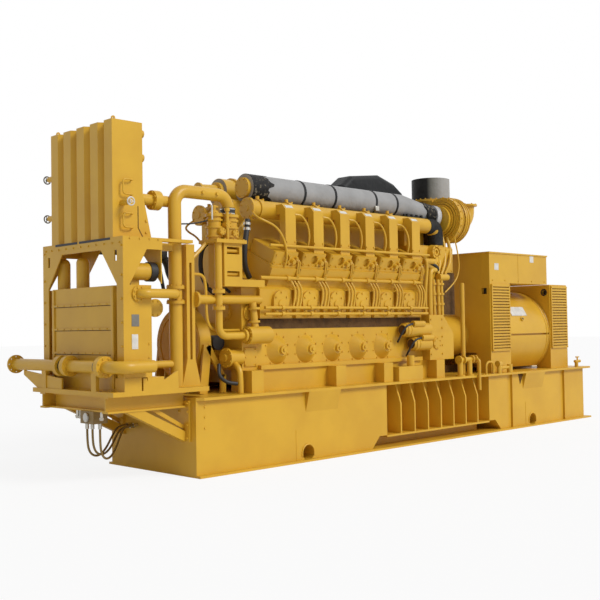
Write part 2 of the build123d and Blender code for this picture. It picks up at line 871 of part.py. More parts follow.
with BuildPart() as stator:
    bar((generator_x + end_box_length, 0, crank_height),
        (generator_end_x - end_box_length, 0, crank_height), stator_radius)
    block(generator_x, generator_end_x, -stator_radius, stator_radius, crank_height - stator_radius,
          stator_flat_height, mode=Mode.SUBTRACT)
    slot_floor = stator_radius - stator_slot_depth
    for low, high in ((-stator_radius, -slot_floor), (slot_floor, stator_radius)):
        block(generator_x, generator_end_x, low, high, crank_height - stator_slot / 2,
              crank_height + stator_slot / 2, mode=Mode.SUBTRACT)
stator.part.label = "stator"
export_step(stator.part, "parts/stator.step")

with BuildPart() as generator_top_box:
    lid_bottom = end_box_top + top_box_height - lid_thickness
    block(generator_x, generator_x + top_box_length, -generator_half_width, generator_half_width,
          end_box_top, lid_bottom)
    block(generator_x - lid_overhang, generator_x + top_box_length + lid_overhang,
          -generator_half_width - lid_overhang, generator_half_width + lid_overhang, lid_bottom,
          lid_bottom + lid_thickness)
generator_top_box.part.label = "generator_top_box"
export_step(generator_top_box.part, "parts/generator_top_box.step")

with BuildPart() as coupling:
    bar((rear_housing_end, 0, crank_height), (generator_x, 0, crank_height), coupling_radius)
coupling.part.label = "coupling"
export_step(coupling.part, "parts/coupling.step")

# Front bracket: two beams with braces, bolted to the base's front face
beam_bottom = beam_top - beam_height
bracket_front_x = front_x - bracket_reach
with BuildPart() as front_bracket:
    for side in (-1, 1):
        middle = side * bracket_spread
        beam_end_x = front_x - bracket_plate_thickness
        for low, high in ((beam_bottom, beam_bottom + beam_flange), (beam_top - beam_flange, beam_top)):
            block(bracket_front_x, beam_end_x, middle - beam_width / 2, middle + beam_width / 2, low, high)
        block(bracket_front_x, beam_end_x, middle - beam_web / 2, middle + beam_web / 2, beam_bottom,
              beam_top)
        block(beam_end_x, front_x, middle - bracket_plate_width / 2, middle + bracket_plate_width / 2,
              bracket_plate_bottom, deck_underside)
        brace_top_x = front_x - brace_start_reach
        brace_outline = (
            (brace_top_x, beam_bottom),
            (brace_top_x + brace_depth * 2, beam_bottom),
            (beam_end_x, bracket_plate_bottom + brace_depth),
            (beam_end_x, bracket_plate_bottom),
        )
        plate_along_y(brace_outline, middle, brace_width)
        tie_x = front_x - tie_start_reach
        tie_end_z = bracket_plate_bottom + brace_depth + tie_depth / 2
        tie_outline = (
            (tie_x, beam_bottom),
            (tie_x + tie_depth * 2, beam_bottom),
            (beam_end_x, tie_end_z + tie_depth),
            (beam_end_x, tie_end_z),
        )
        plate_along_y(tie_outline, middle, beam_web)
    cross_x = front_x - cross_beam_setback
    cross_half = bracket_spread - beam_width / 2
    for low, high in ((beam_bottom, beam_bottom + beam_flange), (beam_top - beam_flange, beam_top)):
        block(cross_x, cross_x + beam_width, -cross_half, cross_half, low, high)
    block(cross_x + beam_width / 2, cross_x + beam_width / 2 + beam_web, -cross_half, cross_half,
          beam_bottom, beam_top)
front_bracket.part.label = "front_bracket"
export_step(front_bracket.part, "parts/front_bracket.step")

platform_top = beam_top + platform_thickness
column_x = front_x + column_front
column_end_x = column_x + column_width
stand_x = front_x - stand_front
stand_end_x = stand_x + stand_depth
with BuildPart() as stand_platform:
    block(front_x - platform_front, column_end_x + column_foot_flare, -platform_half_width,
          platform_half_width, beam_top, platform_top)
    for pad_x in (stand_x, stand_end_x - pad_length):
        block(pad_x, pad_x + pad_length, -platform_half_width, -platform_half_width + pad_width,
              platform_top, stand_bottom)
        block(pad_x, pad_x + pad_length, platform_half_width - pad_width, platform_half_width, platform_top,
              stand_bottom)
    for side in (-1, 1):
        low = side * riser_spread - column_depth / 2
        high = side * riser_spread + column_depth / 2
        block(column_x, column_end_x, low, high, platform_top, column_top)
        foot = (
            (column_x - column_foot_flare, platform_top),
            (column_end_x + column_foot_flare, platform_top),
            (column_end_x, platform_top + column_foot_height),
            (column_x, platform_top + column_foot_height),
        )
        plate_along_y(foot, side * riser_spread, column_depth)
        slot_middle = (column_x + column_end_x) / 2
        block(slot_middle - column_slot_width / 2, slot_middle + column_slot_width / 2, low, high,
              platform_top + column_foot_height, column_top - column_slot_margin, mode=Mode.SUBTRACT)
        edge_outline = [(front_x + reach, platform_top + rise) for reach, rise in edge_plate_points]
        plate_along_y(edge_outline, side * (platform_half_width - edge_plate / 2), edge_plate)
stand_platform.part.label = "stand_platform"
export_step(stand_platform.part, "parts/stand_platform.step")

# Cooling stand: front frame, side plates cut away behind, rear gussets and top plate
with BuildPart() as cooling_stand:
    block(stand_x, stand_x + stand_plate, -stand_half_width, stand_half_width, stand_bottom, stand_top)
    opening_half = stand_half_width - leg_width
    opening_top = stand_top - stand_lintel
    opening = (
        (-opening_half, stand_bottom - overrun),
        (-opening_half, opening_top - gusset_drop),
        (-opening_half + gusset_run, opening_top),
        (opening_half - gusset_run, opening_top),
        (opening_half, opening_top - gusset_drop),
        (opening_half, stand_bottom - overrun),
    )
    plate_along_x(opening, stand_x - overrun, stand_plate + overrun * 2, mode=Mode.SUBTRACT)
    for side in (-1, 1):
        with Locations((stand_x, side * leg_slot_spread, leg_slot_middle)):
            Box(overrun, leg_slot_width, leg_slot_height, mode=Mode.SUBTRACT)
    side_x = stand_x + stand_plate
    arch_top = stand_top - arch_top_margin
    side_plate = (
        (side_x, stand_bottom),
        (stand_x + side_plate_depth, stand_bottom),
        (stand_x + side_plate_depth, arch_bottom),
        (stand_x + arch_foot_inset, arch_bottom),
        (stand_x + arch_head_inset, arch_top),
        (stand_end_x, arch_top),
        (stand_end_x, stand_top),
        (side_x, stand_top),
    )
    inner_half = stand_half_width - stand_plate
    for side in (-1, 1):
        plate_along_y(side_plate, side * (stand_half_width - stand_plate / 2), stand_plate)
        rear_gusset = (
            (side * inner_half, stand_top),
            (side * (inner_half - rear_gusset_run), stand_top),
            (side * inner_half, stand_top - rear_gusset_drop),
        )
        plate_along_x(rear_gusset, stand_end_x - stand_plate, stand_plate)
    block(stand_x, stand_end_x, -stand_half_width, stand_half_width, stand_top, tank_bottom)
    shelf_inner = riser_spread + riser_radius + riser_flange
    block(stand_end_x, front_x, -stand_half_width, -shelf_inner, stand_top, tank_bottom)
    block(stand_end_x, front_x, shelf_inner, stand_half_width, stand_top, tank_bottom)
cooling_stand.part.label = "cooling_stand"
export_step(cooling_stand.part, "parts/cooling_stand.step")

# Heat exchanger: body with ledges across its front, air vessels and the near side's drum on top
with BuildPart() as heat_exchanger:
    exchanger_x = stand_x + stand_plate
    exchanger_end_x = exchanger_x + exchanger_depth
    block(exchanger_x, exchanger_end_x, -exchanger_half_width, exchanger_half_width, platform_top,
          exchanger_top)
    for share in exchanger_ledge_shares:
        ledge_z = platform_top + (exchanger_top - platform_top) * share
        block(exchanger_x - exchanger_ledge, exchanger_x, -exchanger_half_width, exchanger_half_width,
              ledge_z, ledge_z + exchanger_ledge_height)
    for place in vessel_places:
        vessel_x = front_x - vessel_setback
        dome_z = vessel_top - vessel_radius
        bar((vessel_x, place, exchanger_top), (vessel_x, place, dome_z), vessel_radius)
        with Locations((vessel_x, place, dome_z)):
            Sphere(vessel_radius)
    bar((front_x - drum_start, -drum_spread, drum_height), (front_x - drum_end, -drum_spread, drum_height),
        drum_radius)
    block(front_x - drum_stub_start, front_x - drum_stub_end, -drum_spread, -drum_stub_inner, exchanger_top,
          drum_height)
heat_exchanger.part.label = "heat_exchanger"
export_step(heat_exchanger.part, "parts/heat_exchanger.step")

# Expansion tank with a corrugated front
tank_x = front_x - tank_front
tank_end_x = tank_x + tank_depth
with BuildPart() as expansion_tank:
    rib_pitch_y = tank_half_width * 2 / (tank_rib_count - 1 + tank_rib_share)
    flat = rib_pitch_y * tank_rib_share
    slope = (rib_pitch_y - flat) * tank_slope_share
    tank_front_points = []
    for index in range(tank_rib_count):
        rib_low = -tank_half_width + index * rib_pitch_y
        tank_front_points.append((tank_x, rib_low))
        tank_front_points.append((tank_x, rib_low + flat))
        if index < tank_rib_count - 1:
            tank_front_points.append((tank_x + tank_rib_depth, rib_low + flat + slope))
            tank_front_points.append((tank_x + tank_rib_depth, rib_low + rib_pitch_y - slope))
    tank_outline = tank_front_points + [(tank_end_x, tank_half_width), (tank_end_x, -tank_half_width)]
    with BuildSketch(Plane.XY.offset(tank_bottom)):
        Polygon(*tank_outline, align=None)
    extrude(amount=tank_top - tank_bottom)
expansion_tank.part.label = "expansion_tank"
export_step(expansion_tank.part, "parts/expansion_tank.step")

# Tank fittings: valves, gussets, lifting eyes, bosses and grab handles
far_valves = [(front_x - valve_setback, 1, tank_bottom + tank_rise * share) for share in far_valve_shares]
near_valve = (front_x - near_valve_setback, -1, tank_bottom + tank_rise * near_valve_share)
with BuildPart() as tank_fittings:
    for valve_x, side, height in far_valves + [near_valve]:
        face = side * tank_half_width
        body_end = face + side * valve_body_length
        bar((valve_x, face, height), (valve_x, body_end, height), valve_body_radius)
        bar((valve_x, body_end, height), (valve_x, body_end + side * stem_length, height), stem_radius)
    gusset = (
        (tank_end_x, tank_bottom),
        (stand_end_x, tank_bottom),
        (tank_end_x, tank_bottom + tank_gusset_rise),
    )
    for side in (-1, 1):
        plate_along_y(gusset, side * (tank_half_width - stand_plate / 2), stand_plate)
    for side in (-1, 1):
        eye_y = side * (tank_half_width - eye_inset)
        eye_x = tank_x + eye_setback
        block(eye_x - eye_radius, eye_x + eye_radius, eye_y - eye_thickness / 2, eye_y + eye_thickness / 2,
              tank_top, tank_top + eye_radius)
        bar((eye_x, eye_y - eye_thickness / 2, tank_top + eye_radius),
            (eye_x, eye_y + eye_thickness / 2, tank_top + eye_radius), eye_radius)
        bar((eye_x, eye_y - eye_thickness, tank_top + eye_radius),
            (eye_x, eye_y + eye_thickness, tank_top + eye_radius), eye_hole_radius, mode=Mode.SUBTRACT)
        for share in boss_shares:
            height = tank_bottom + tank_rise * share
            bar((tank_end_x, eye_y, height), (tank_end_x + boss_length, eye_y, height), boss_radius)
    for low_share, high_share in handle_shares:
        low = tank_bottom + tank_rise * low_share
        high = tank_bottom + tank_rise * high_share
        face = -tank_half_width
        out = face - handle_standoff
        shallow_x = front_x - handle_low
        deep_x = front_x - handle_high
        bent_pipe(((shallow_x, face, high), (shallow_x, out, high), (deep_x, out, high),
                   (deep_x, out, low), (shallow_x, out, low), (shallow_x, face, low)),
                  handle_radius, handle_bend)
tank_fittings.part.label = "tank_fittings"
export_step(tank_fittings.part, "parts/tank_fittings.step")


def handwheel(valve_x, side, height):
    """A spoked handwheel round the end of a valve stem, running on it with a small clearance."""
    wheel_y = side * (tank_half_width + valve_body_length + stem_length - wheel_hub_length / 2)
    hub_start = (valve_x, wheel_y - wheel_hub_length / 2, height)
    hub_end = (valve_x, wheel_y + wheel_hub_length / 2, height)
    with BuildPart() as wheel:
        bar(hub_start, hub_end, wheel_hub_radius)
        wheel_plane = Plane(origin=(valve_x, wheel_y, height), z_dir=(0, 1, 0))
        with Locations(wheel_plane.location):
            Torus(wheel_radius - wheel_rim_radius, wheel_rim_radius)
        for turn in (0, 120, 240):
            reach = wheel_radius - wheel_rim_radius
            spoke_end = (
                valve_x + reach * math.cos(math.radians(turn)),
                wheel_y,
                height + reach * math.sin(math.radians(turn)),
            )
            bar((valve_x, wheel_y, height), spoke_end, wheel_spoke_radius)
        bar((valve_x, wheel_y - wheel_hub_length, height), (valve_x, wheel_y + wheel_hub_length, height),
            stem_radius + wheel_clearance, mode=Mode.SUBTRACT)
    return wheel


lower_wheel = handwheel(*far_valves[0])
lower_wheel.part.label = "lower_valve_wheel"
export_step(lower_wheel.part, "parts/lower_valve_wheel.step")

upper_wheel = handwheel(*far_valves[1])
upper_wheel.part.label = "upper_valve_wheel"
export_step(upper_wheel.part, "parts/upper_valve_wheel.step")

near_wheel = handwheel(*near_valve)
near_wheel.part.label = "near_valve_wheel"
export_step(near_wheel.part, "parts/near_valve_wheel.step")

# Raw water pipe across the front, with its open end flange on the far side
with BuildPart() as raw_water_pipe:
    raw_x = front_x - raw_pipe_front
    raw_far = (raw_x, raw_pipe_far_end, raw_pipe_height)
    raw_corner = (raw_x, -raw_pipe_side, raw_pipe_height)
    raw_end = (front_x - raw_pipe_end_setback, -raw_pipe_side, raw_pipe_height)
    bent_pipe((raw_far, raw_corner, raw_end), raw_pipe_radius, raw_pipe_bend)
    flange_start = (raw_x, raw_pipe_far_end - raw_flange_thickness, raw_pipe_height)
    bar(flange_start, raw_far, raw_flange_radius)
    for place in big_flange_places:
        bar((raw_x, place, raw_pipe_height), (raw_x, place + big_flange_length, raw_pipe_height),
            big_flange_radius)
    for place in saddle_places:
        block(raw_x - saddle_width / 2, raw_x + saddle_width / 2, place - saddle_length / 2,
              place + saddle_length / 2, platform_top, raw_pipe_height)
    bore_start = (raw_x, raw_pipe_far_end - raw_flange_radius, raw_pipe_height)
    bar(bore_start, (raw_x, raw_pipe_far_end + overrun, raw_pipe_height), raw_pipe_bore_radius,
        mode=Mode.SUBTRACT)
    with Locations(Plane(origin=raw_far, z_dir=(0, 1, 0)).location):
        with PolarLocations(raw_flange_pcd / 2, raw_flange_holes):
            Hole(raw_flange_hole_radius, depth=raw_flange_thickness)
raw_water_pipe.part.label = "raw_water_pipe"
export_step(raw_water_pipe.part, "parts/raw_water_pipe.step")

# Coolant riser from the platform up over the engine's front, fed from the exchanger's back and from the
# stand's side plate, and the tank's outlet with its valve
with BuildPart() as coolant_riser:
    riser_x = front_x - riser_setback
    riser_down_x = front_x + thermostat_cap_setbacks[-1]
    bypass_x = front_x - bypass_setback
    bypass_out_y = -stand_half_width - bypass_standoff
    bent_pipe(((riser_x, -riser_spread, platform_top), (riser_x, -riser_spread, riser_top),
               (riser_down_x, -riser_spread, riser_top), (riser_down_x, -riser_spread, thermostat_cap_top)),
              riser_radius, riser_bend)
    bar((exchanger_end_x, -riser_spread, feed_pipe_height), (riser_x, -riser_spread, feed_pipe_height),
        feed_pipe_radius)
    bent_pipe(((bypass_x, -stand_half_width, bypass_height), (bypass_x, bypass_out_y, bypass_height),
               (front_x - bypass_turn_setback, bypass_out_y, bypass_height),
               (riser_x, -riser_spread, bypass_height)), bypass_radius, bypass_bend)
    bar((bypass_x, -stand_half_width, bypass_height),
        (bypass_x, -stand_half_width - bypass_flange_thickness, bypass_height), bypass_flange_radius)
    flange_offset = bypass_radius + riser_flange_gap
    lower_flange_z = bypass_height - flange_offset - riser_flange_thickness
    for flange_z in (lower_flange_z, bypass_height + flange_offset):
        bar((riser_x, -riser_spread, flange_z), (riser_x, -riser_spread, flange_z + riser_flange_thickness),
            riser_radius + riser_flange)
    block(stand_end_x, riser_x, -riser_spread - riser_clamp_width / 2, -riser_spread + riser_clamp_width / 2,
          stand_top - riser_clamp_height, stand_top)
    outlet_y = -riser_spread + outlet_pipe_inset
    outlet_z = tank_bottom + tank_rise * outlet_pipe_share
    bar((tank_end_x, outlet_y, outlet_z), (riser_x, outlet_y, outlet_z), outlet_pipe_radius)
    valve_x = (tank_end_x + riser_x) / 2
    bar((valve_x - outlet_valve_length / 2, outlet_y, outlet_z),
        (valve_x + outlet_valve_length / 2, outlet_y, outlet_z), outlet_valve_radius)
    add(stand_platform.part, mode=Mode.SUBTRACT)
coolant_riser.part.label = "coolant_riser"
export_step(coolant_riser.part, "parts/coolant_riser.step")

with BuildPart() as breather_post:
    post_x = front_x + post_setback
    bar((post_x, -post_spread, base_height), (post_x, -post_spread, post_top), post_radius)
breather_post.part.label = "breather_post"
export_step(breather_post.part, "parts/breather_post.step")

# Water pumps beside the gear case, and the thermostat housing on it with two windows and two capped necks
with BuildPart() as water_pumps:
    pump_x = front_x + pump_setback
    bar((pump_x, -pump_spread, pump_height), (pump_x + pump_length, -pump_spread, pump_height), pump_radius)
    block(engine_front_x - pump_foot_length, engine_front_x, -pump_spread, -gear_case_half_width,
          pump_height - pump_foot_height / 2, pump_height + pump_foot_height / 2)
    mirror(about=Plane.XZ)
water_pumps.part.label = "water_pumps"
export_step(water_pumps.part, "parts/water_pumps.step")

water_x = front_x + water_pipe_setback
with BuildPart() as thermostat_housing:
    thermostat_x = front_x + thermostat_setback
    thermostat_end_x = thermostat_x + thermostat_length
    outer_y = -riser_spread - thermostat_half_width
    inner_y = -riser_spread + thermostat_half_width
    block(thermostat_x, thermostat_end_x, outer_y, inner_y, gear_case_top, thermostat_body_top)
    for low, high in thermostat_slots:
        block(thermostat_x + thermostat_slot_margin, thermostat_end_x - thermostat_slot_margin, outer_y,
              outer_y + thermostat_slot_depth, low, high, mode=Mode.SUBTRACT)
    block(thermostat_x, engine_front_x, outer_y, inner_y, gear_case_top,
          gear_case_top + thermostat_foot_rise)
    shelf_top = thermostat_body_top + thermostat_shelf
    block(water_x - thermostat_shelf_margin, thermostat_end_x + thermostat_shelf, outer_y - thermostat_shelf,
          inner_y, thermostat_body_top, shelf_top)
    for setback, radius in zip(thermostat_cap_setbacks, thermostat_cap_radii):
        cap_x = front_x + setback
        bar((cap_x, -riser_spread, shelf_top), (cap_x, -riser_spread, thermostat_cap_top), radius)
        bar((cap_x, -riser_spread, thermostat_cap_top - thermostat_cap_flange),
            (cap_x, -riser_spread, thermostat_cap_top), radius + thermostat_cap_lip)
thermostat_housing.part.label = "thermostat_housing"
export_step(thermostat_housing.part, "parts/thermostat_housing.step")

with BuildPart() as water_pipe:
    water_top = (water_x, -pump_spread, thermostat_body_top)
    water_knee = (water_x, -pump_spread, pump_height)
    water_end = (pump_x, -pump_spread, pump_height)
    bent_pipe((water_top, water_knee, water_end), water_pipe_radius, water_pipe_bend)
    for share in water_flange_shares:
        flange_z = pump_height + (thermostat_body_top - pump_height) * share
        bar((water_x, -pump_spread, flange_z), (water_x, -pump_spread, flange_z + water_flange_thickness),
            water_flange_radius)
    transfer_y = -gear_case_half_width - transfer_pipe_radius
    bar((column_end_x, transfer_y, transfer_pipe_height), (engine_front_x, transfer_y, transfer_pipe_height),
        transfer_pipe_radius)
    bar((column_end_x, transfer_y, transfer_pipe_height),
        (column_end_x + transfer_flange_thickness, transfer_y, transfer_pipe_height), transfer_flange_radius)
water_pipe.part.label = "water_pipe"
export_step(water_pipe.part, "parts/water_pipe.step")

# Starter motors on the flywheel housing, and the fuel rails along the heads
with BuildPart() as starter_motors:
    for setback, height in zip(starter_setbacks, starter_heights):
        bar((front_x + setback, -starter_spread, height), (rear_housing_x, -starter_spread, height),
            starter_radius)
    mirror(about=Plane.XZ)
starter_motors.part.label = "starter_motors"
export_step(starter_motors.part, "parts/starter_motors.step")

with BuildPart() as fuel_rails:
    rail_reach = head_deck_reach + head_thickness / 2
    rail_out = head_width / 2 + fuel_rail_radius
    rail_y = rail_reach * lean_sin + rail_out * lean_cos
    rail_z = crank_height + rail_reach * lean_cos - rail_out * lean_sin
    bar((engine_front_x, -rail_y, rail_z), (engine_rear_x, -rail_y, rail_z), fuel_rail_radius)
    mirror(about=Plane.XZ)
fuel_rails.part.label = "fuel_rails"
export_step(fuel_rails.part, "parts/fuel_rails.step")

# Louvre panels on the generator's end boxes
with BuildPart() as louvre_panels:
    panel_low = end_box_bottom + louvre_margin
    panel_high = end_box_top - louvre_margin
    slot_pitch = (panel_high - panel_low) / (louvre_count + 1)
    for box_x in (generator_x, generator_end_x - end_box_length):
        block(box_x + louvre_margin, box_x + end_box_length - louvre_margin,
              -generator_half_width - louvre_thickness, -generator_half_width, panel_low, panel_high)
        for index in range(louvre_count):
            slot_z = panel_low + (index + 1) * slot_pitch
            block(box_x + louvre_margin * 2, box_x + end_box_length - louvre_margin * 2,
                  -generator_half_width - louvre_thickness, -generator_half_width,
                  slot_z - slot_pitch * louvre_slot_share / 2, slot_z + slot_pitch * louvre_slot_share / 2,
                  mode=Mode.SUBTRACT)
    mirror(about=Plane.XZ)
louvre_panels.part.label = "louvre_panels"
export_step(louvre_panels.part, "parts/louvre_panels.step")

# Control box under the cross beam, hose fittings and the three hanging hoses
with BuildPart() as control_box:
    block(front_x - control_box_front, front_x - control_box_front + control_box_depth, control_box_low_y,
          control_box_high_y, control_box_bottom, beam_bottom)
control_box.part.label = "control_box"
export_step(control_box.part, "parts/control_box.step")

with BuildPart() as hose_fittings:
    fitting_foot = control_box_bottom - hose_fitting_length
    for start_x, start_y in hose_starts:
        bar((front_x + start_x, start_y, fitting_foot), (front_x + start_x, start_y, control_box_bottom),
            hose_fitting_radius)
    for end_y, end_z in hose_ends:
        bar((front_x - hose_fitting_length, end_y, end_z), (front_x, end_y, end_z), hose_fitting_radius)
hose_fittings.part.label = "hose_fittings"
export_step(hose_fittings.part, "parts/hose_fittings.step")


def hose(start, end, offsets):
    """A hanging hose from a fitting under the control box to one on the base's front face."""
    exit_point = Vector(front_x + start[0], start[1], fitting_foot)
    points = [exit_point] + [exit_point + Vector(*offset) for offset in offsets]
    last = Vector(front_x - hose_fitting_length, end[0], end[1])
    points.append(last - Vector(hose_lead, 0, 0))
    points.append(last)
    radii = []
    for before, corner, after in zip(points, points[1:], points[2:]):
        turn = (corner - before).get_angle(after - corner)
        shorter = min((corner - before).length, (after - corner).length)
        radii.append(shorter * hose_bend_share / math.tan(math.radians(turn / 2)))
    print("hose bend radii", [round(radius) for radius in radii])
    with BuildPart() as tube:
        bent_pipe(points, hose_radius, radii)
    return tube


first_hose = hose(hose_starts[0], hose_ends[0], hose_drop_points[0])
first_hose.part.label = "first_hose"
export_step(first_hose.part, "parts/first_hose.step")

second_hose = hose(hose_starts[1], hose_ends[1], hose_drop_points[1])
second_hose.part.label = "second_hose"
export_step(second_hose.part, "parts/second_hose.step")

third_hose = hose(hose_starts[2], hose_ends[2], hose_drop_points[2])
third_hose.part.label = "third_hose"
export_step(third_hose.part, "parts/third_hose.step")
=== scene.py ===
import math

import bmesh
import bpy
from mathutils import Matrix, Vector


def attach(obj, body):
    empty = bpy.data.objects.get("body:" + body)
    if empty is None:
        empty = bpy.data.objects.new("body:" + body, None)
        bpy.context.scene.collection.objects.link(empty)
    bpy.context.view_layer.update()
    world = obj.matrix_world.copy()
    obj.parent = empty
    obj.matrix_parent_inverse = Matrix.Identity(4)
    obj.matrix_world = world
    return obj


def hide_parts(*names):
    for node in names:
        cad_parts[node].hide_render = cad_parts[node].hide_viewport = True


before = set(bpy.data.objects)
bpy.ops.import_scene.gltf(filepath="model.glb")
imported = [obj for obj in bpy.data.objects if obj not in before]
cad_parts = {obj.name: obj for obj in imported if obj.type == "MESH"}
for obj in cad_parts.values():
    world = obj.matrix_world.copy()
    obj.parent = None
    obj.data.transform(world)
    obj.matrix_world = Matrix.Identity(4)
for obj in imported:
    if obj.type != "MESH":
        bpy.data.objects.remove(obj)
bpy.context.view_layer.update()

# The photograph's view, solved from the edges of the base, stand and tank
image_size = 600
camera_place = Vector((-10.234, -8.715, 1.597))
camera_yaw = math.radians(44.361)
camera_rise = math.radians(1.588)
camera_roll = math.radians(-0.93)
camera_focal_pixels = 936.77
sensor_width = 36.0
view_distance = 400

# Stage and light
floor_size = 160.0
floor_colour = (0.86, 0.86, 0.86, 1.0)
floor_glow_share = 0.86
floor_roughness = 0.9
white = (1, 1, 1, 1)
key_from = Vector((0.30, -1.0, 0.80))
key_strength = 1.95
key_angle = math.radians(22)
sky_strength = 0.43

# Finishes
ochre = (0.67, 0.388, 0.027, 1.0)
ochre_dark = (0.61, 0.340, 0.023, 1.0)
ochre_brown = (0.30, 0.19, 0.055, 1.0)
silver_cloth = (0.375, 0.372, 0.368, 1.0)
silver_cloth_dark = (0.305, 0.303, 0.300, 1.0)
hump_cloth = (0.026, 0.027, 0.028, 1.0)
# Stack cloth: pale grey on its lit side, and a darker grey of painted shade towards its shaded side
stack_cloth = (0.36, 0.35, 0.33, 1.0)
stack_cloth_painted_shade = (0.20, 0.195, 0.17, 1.0)
black_cloth = (0.016, 0.015, 0.014, 1.0)
black_cloth_fleck = (0.26, 0.22, 0.15, 1.0)
rubber_black = (0.018, 0.017, 0.016, 1.0)
hose_brown = (0.28, 0.18, 0.05, 1.0)
plated_steel = (0.60, 0.57, 0.50, 1.0)
# Pale plate colour, also used for painted highlights on the runners' shoulders
pale_plate_and_highlight = (0.74, 0.72, 0.66, 1.0)
grey_plate = (0.20, 0.19, 0.16, 1.0)
silver_foil = (0.60, 0.60, 0.60, 1.0)
# Painted shade behind the louvre slots
louvre_painted_shade_colour = (0.42, 0.24, 0.020, 1.0)
# Painted shade: dark browns for strips, plates and discs where gaps and ledges fall in shadow
painted_shade_colour = (0.12, 0.060, 0.018, 1.0)
painted_shade_deep = (0.075, 0.036, 0.010, 1.0)
enamel_roughness = 0.38
enamel_gloss = 0.42
cloth_roughness = 0.55
blanket_roughness = 0.5
cloth_gloss = 0.15
grain_detail = 3
deeper_share = 0.8

# The dark cloth starts above the blankets; across the stack, painted shade darkens its shaded side and fades to pale
# grey on its lit side, in the set's own places
dark_cloth_bottom = 3.436
dark_cloth_full = 3.456
stack_left = 0.69
stack_right = 1.50

# Hoses, on the same route points as the solids, in metres
base_front_x = -4.07
hose_radius = 0.012
hose_facets = 4
hose_steps = 12
hose_fitting_length = 0.060
hose_lead = 0.120
control_box_bottom = 0.620
hose_starts = ((-0.900, -0.120), (-0.880, -0.190), (-0.840, -0.270))
hose_ends = ((0.400, 0.500), (0.340, 0.480), (0.280, 0.500))
hose_drop_points = (
    ((0, 0, -0.130), (0.040, 0.035, -0.240), (0.150, 0.120, -0.310), (0.300, 0.240, -0.330),
     (0.450, 0.350, -0.280), (0.590, 0.450, -0.170)),
    ((0, 0, -0.125), (0.045, 0.035, -0.230), (0.155, 0.125, -0.295), (0.305, 0.245, -0.310),
     (0.450, 0.355, -0.265), (0.575, 0.450, -0.170)),
    ((0, 0, -0.140), (0.035, 0.035, -0.255), (0.135, 0.125, -0.335), (0.280, 0.250, -0.350),
     (0.420, 0.365, -0.290), (0.545, 0.465, -0.175)),
)

# Engine places, in metres behind the base's front edge
throws = [1.380 + 0.474 * index for index in range(6)]
bank_stagger = 0.070
crank_height = 1.410
bank_sin = math.sin(math.radians(25))
bank_cos = math.cos(math.radians(25))
both_sides = (-1, 1)
forward = (-1, 0, 0)
upward = (0, 0, 1)

# Modelling
merge_distance = 0.00005
sharp_angle = math.radians(35)
bolt_sink = 0.001
bolt_taper = 0.92
plate_lift = 0.001
corner_share = 0.25


def spot(x, y, z):
    """A place given from the base's front edge, the middle line and the floor."""
    return Vector((base_front_x + x, y, z))


def bank_spot(x, side, reach, out):
    """A place on a cylinder bank: reach along the cylinder, out across it. side is -1 near, 1 far."""
    return spot(x, side * (reach * bank_sin + out * bank_cos),
                crank_height + reach * bank_cos - out * bank_sin)


def sided(side):
    """A way to give places on one side of the set, by their distance from the middle line."""
    return lambda x, out, z: spot(x, side * out, z)


sided_places = [(side, sided(side)) for side in both_sides]


def make_camera():
    """The camera at the photograph's place and angle."""
    level = Vector((math.cos(camera_yaw), -math.sin(camera_yaw), 0))
    ahead = Vector((
        math.sin(camera_yaw) * math.cos(camera_rise),
        math.cos(camera_yaw) * math.cos(camera_rise),
        math.sin(camera_rise),
    ))
    upright = level.cross(ahead)
    right = math.cos(camera_roll) * level + math.sin(camera_roll) * upright
    up = -math.sin(camera_roll) * level + math.cos(camera_roll) * upright
    turn = Matrix((right, up, -ahead)).transposed()
    data = bpy.data.cameras.new("photo_camera")
    data.sensor_width = sensor_width
    data.lens = camera_focal_pixels * sensor_width / image_size
    data.clip_end = view_distance
    camera = bpy.data.objects.new("photo_camera", data)
    camera.matrix_world = Matrix.Translation(camera_place) @ turn.to_4x4()
    bpy.context.collection.objects.link(camera)
    bpy.context.scene.camera = camera


def new_material(name):
    """A material with an empty principled shader: returns it, its nodes, links and shader."""
    material = bpy.data.materials.new(name)
    material.use_nodes = True
    nodes = material.node_tree.nodes
    return material, nodes, material.node_tree.links, nodes["Principled BSDF"]


def mottle(nodes, links, scale, detail, colours, places=(0.35, 0.65)):
    """A noise on Object coordinates, turned into a run between two colours."""
    place = nodes.new("ShaderNodeTexCoord")
    noise = nodes.new("ShaderNodeTexNoise")
    noise.inputs["Scale"].default_value = scale
    noise.inputs["Detail"].default_value = detail
    links.new(place.outputs["Object"], noise.inputs["Vector"])
    ramp = nodes.new("ShaderNodeValToRGB")
    for element, colour, position in zip(ramp.color_ramp.elements, colours, places):
        element.color = colour
        element.position = position
    links.new(noise.outputs["Fac"], ramp.inputs["Fac"])
    return place, ramp


def roughen(nodes, links, shader, place, scale, strength, distance):
    """A fine noise bump on Object coordinates."""
    grain = nodes.new("ShaderNodeTexNoise")
    grain.inputs["Scale"].default_value = scale
    grain.inputs["Detail"].default_value = grain_detail
    links.new(place.outputs["Object"], grain.inputs["Vector"])
    bump = nodes.new("ShaderNodeBump")
    bump.inputs["Strength"].default_value = strength
    bump.inputs["Distance"].default_value = distance
    links.new(grain.outputs["Fac"], bump.inputs["Height"])
    links.new(bump.outputs["Normal"], shader.inputs["Normal"])


def coat(links, shader, colour, roughness, gloss):
    """Gives a shader its colour and sheen."""
    links.new(colour, shader.inputs["Base Color"])
    shader.inputs["Roughness"].default_value = roughness
    shader.inputs["Specular IOR Level"].default_value = gloss


def paint(name, light, dark):
    """Machine enamel: a slow mottle between two close colours and a faint brushed skin."""
    material, nodes, links, shader = new_material(name)
    place, ramp = mottle(nodes, links, 2.2, 4, (dark, light))
    coat(links, shader, ramp.outputs["Color"], enamel_roughness, enamel_gloss)
    roughen(nodes, links, shader, place, 60, 0.05, 0.01)
    return material


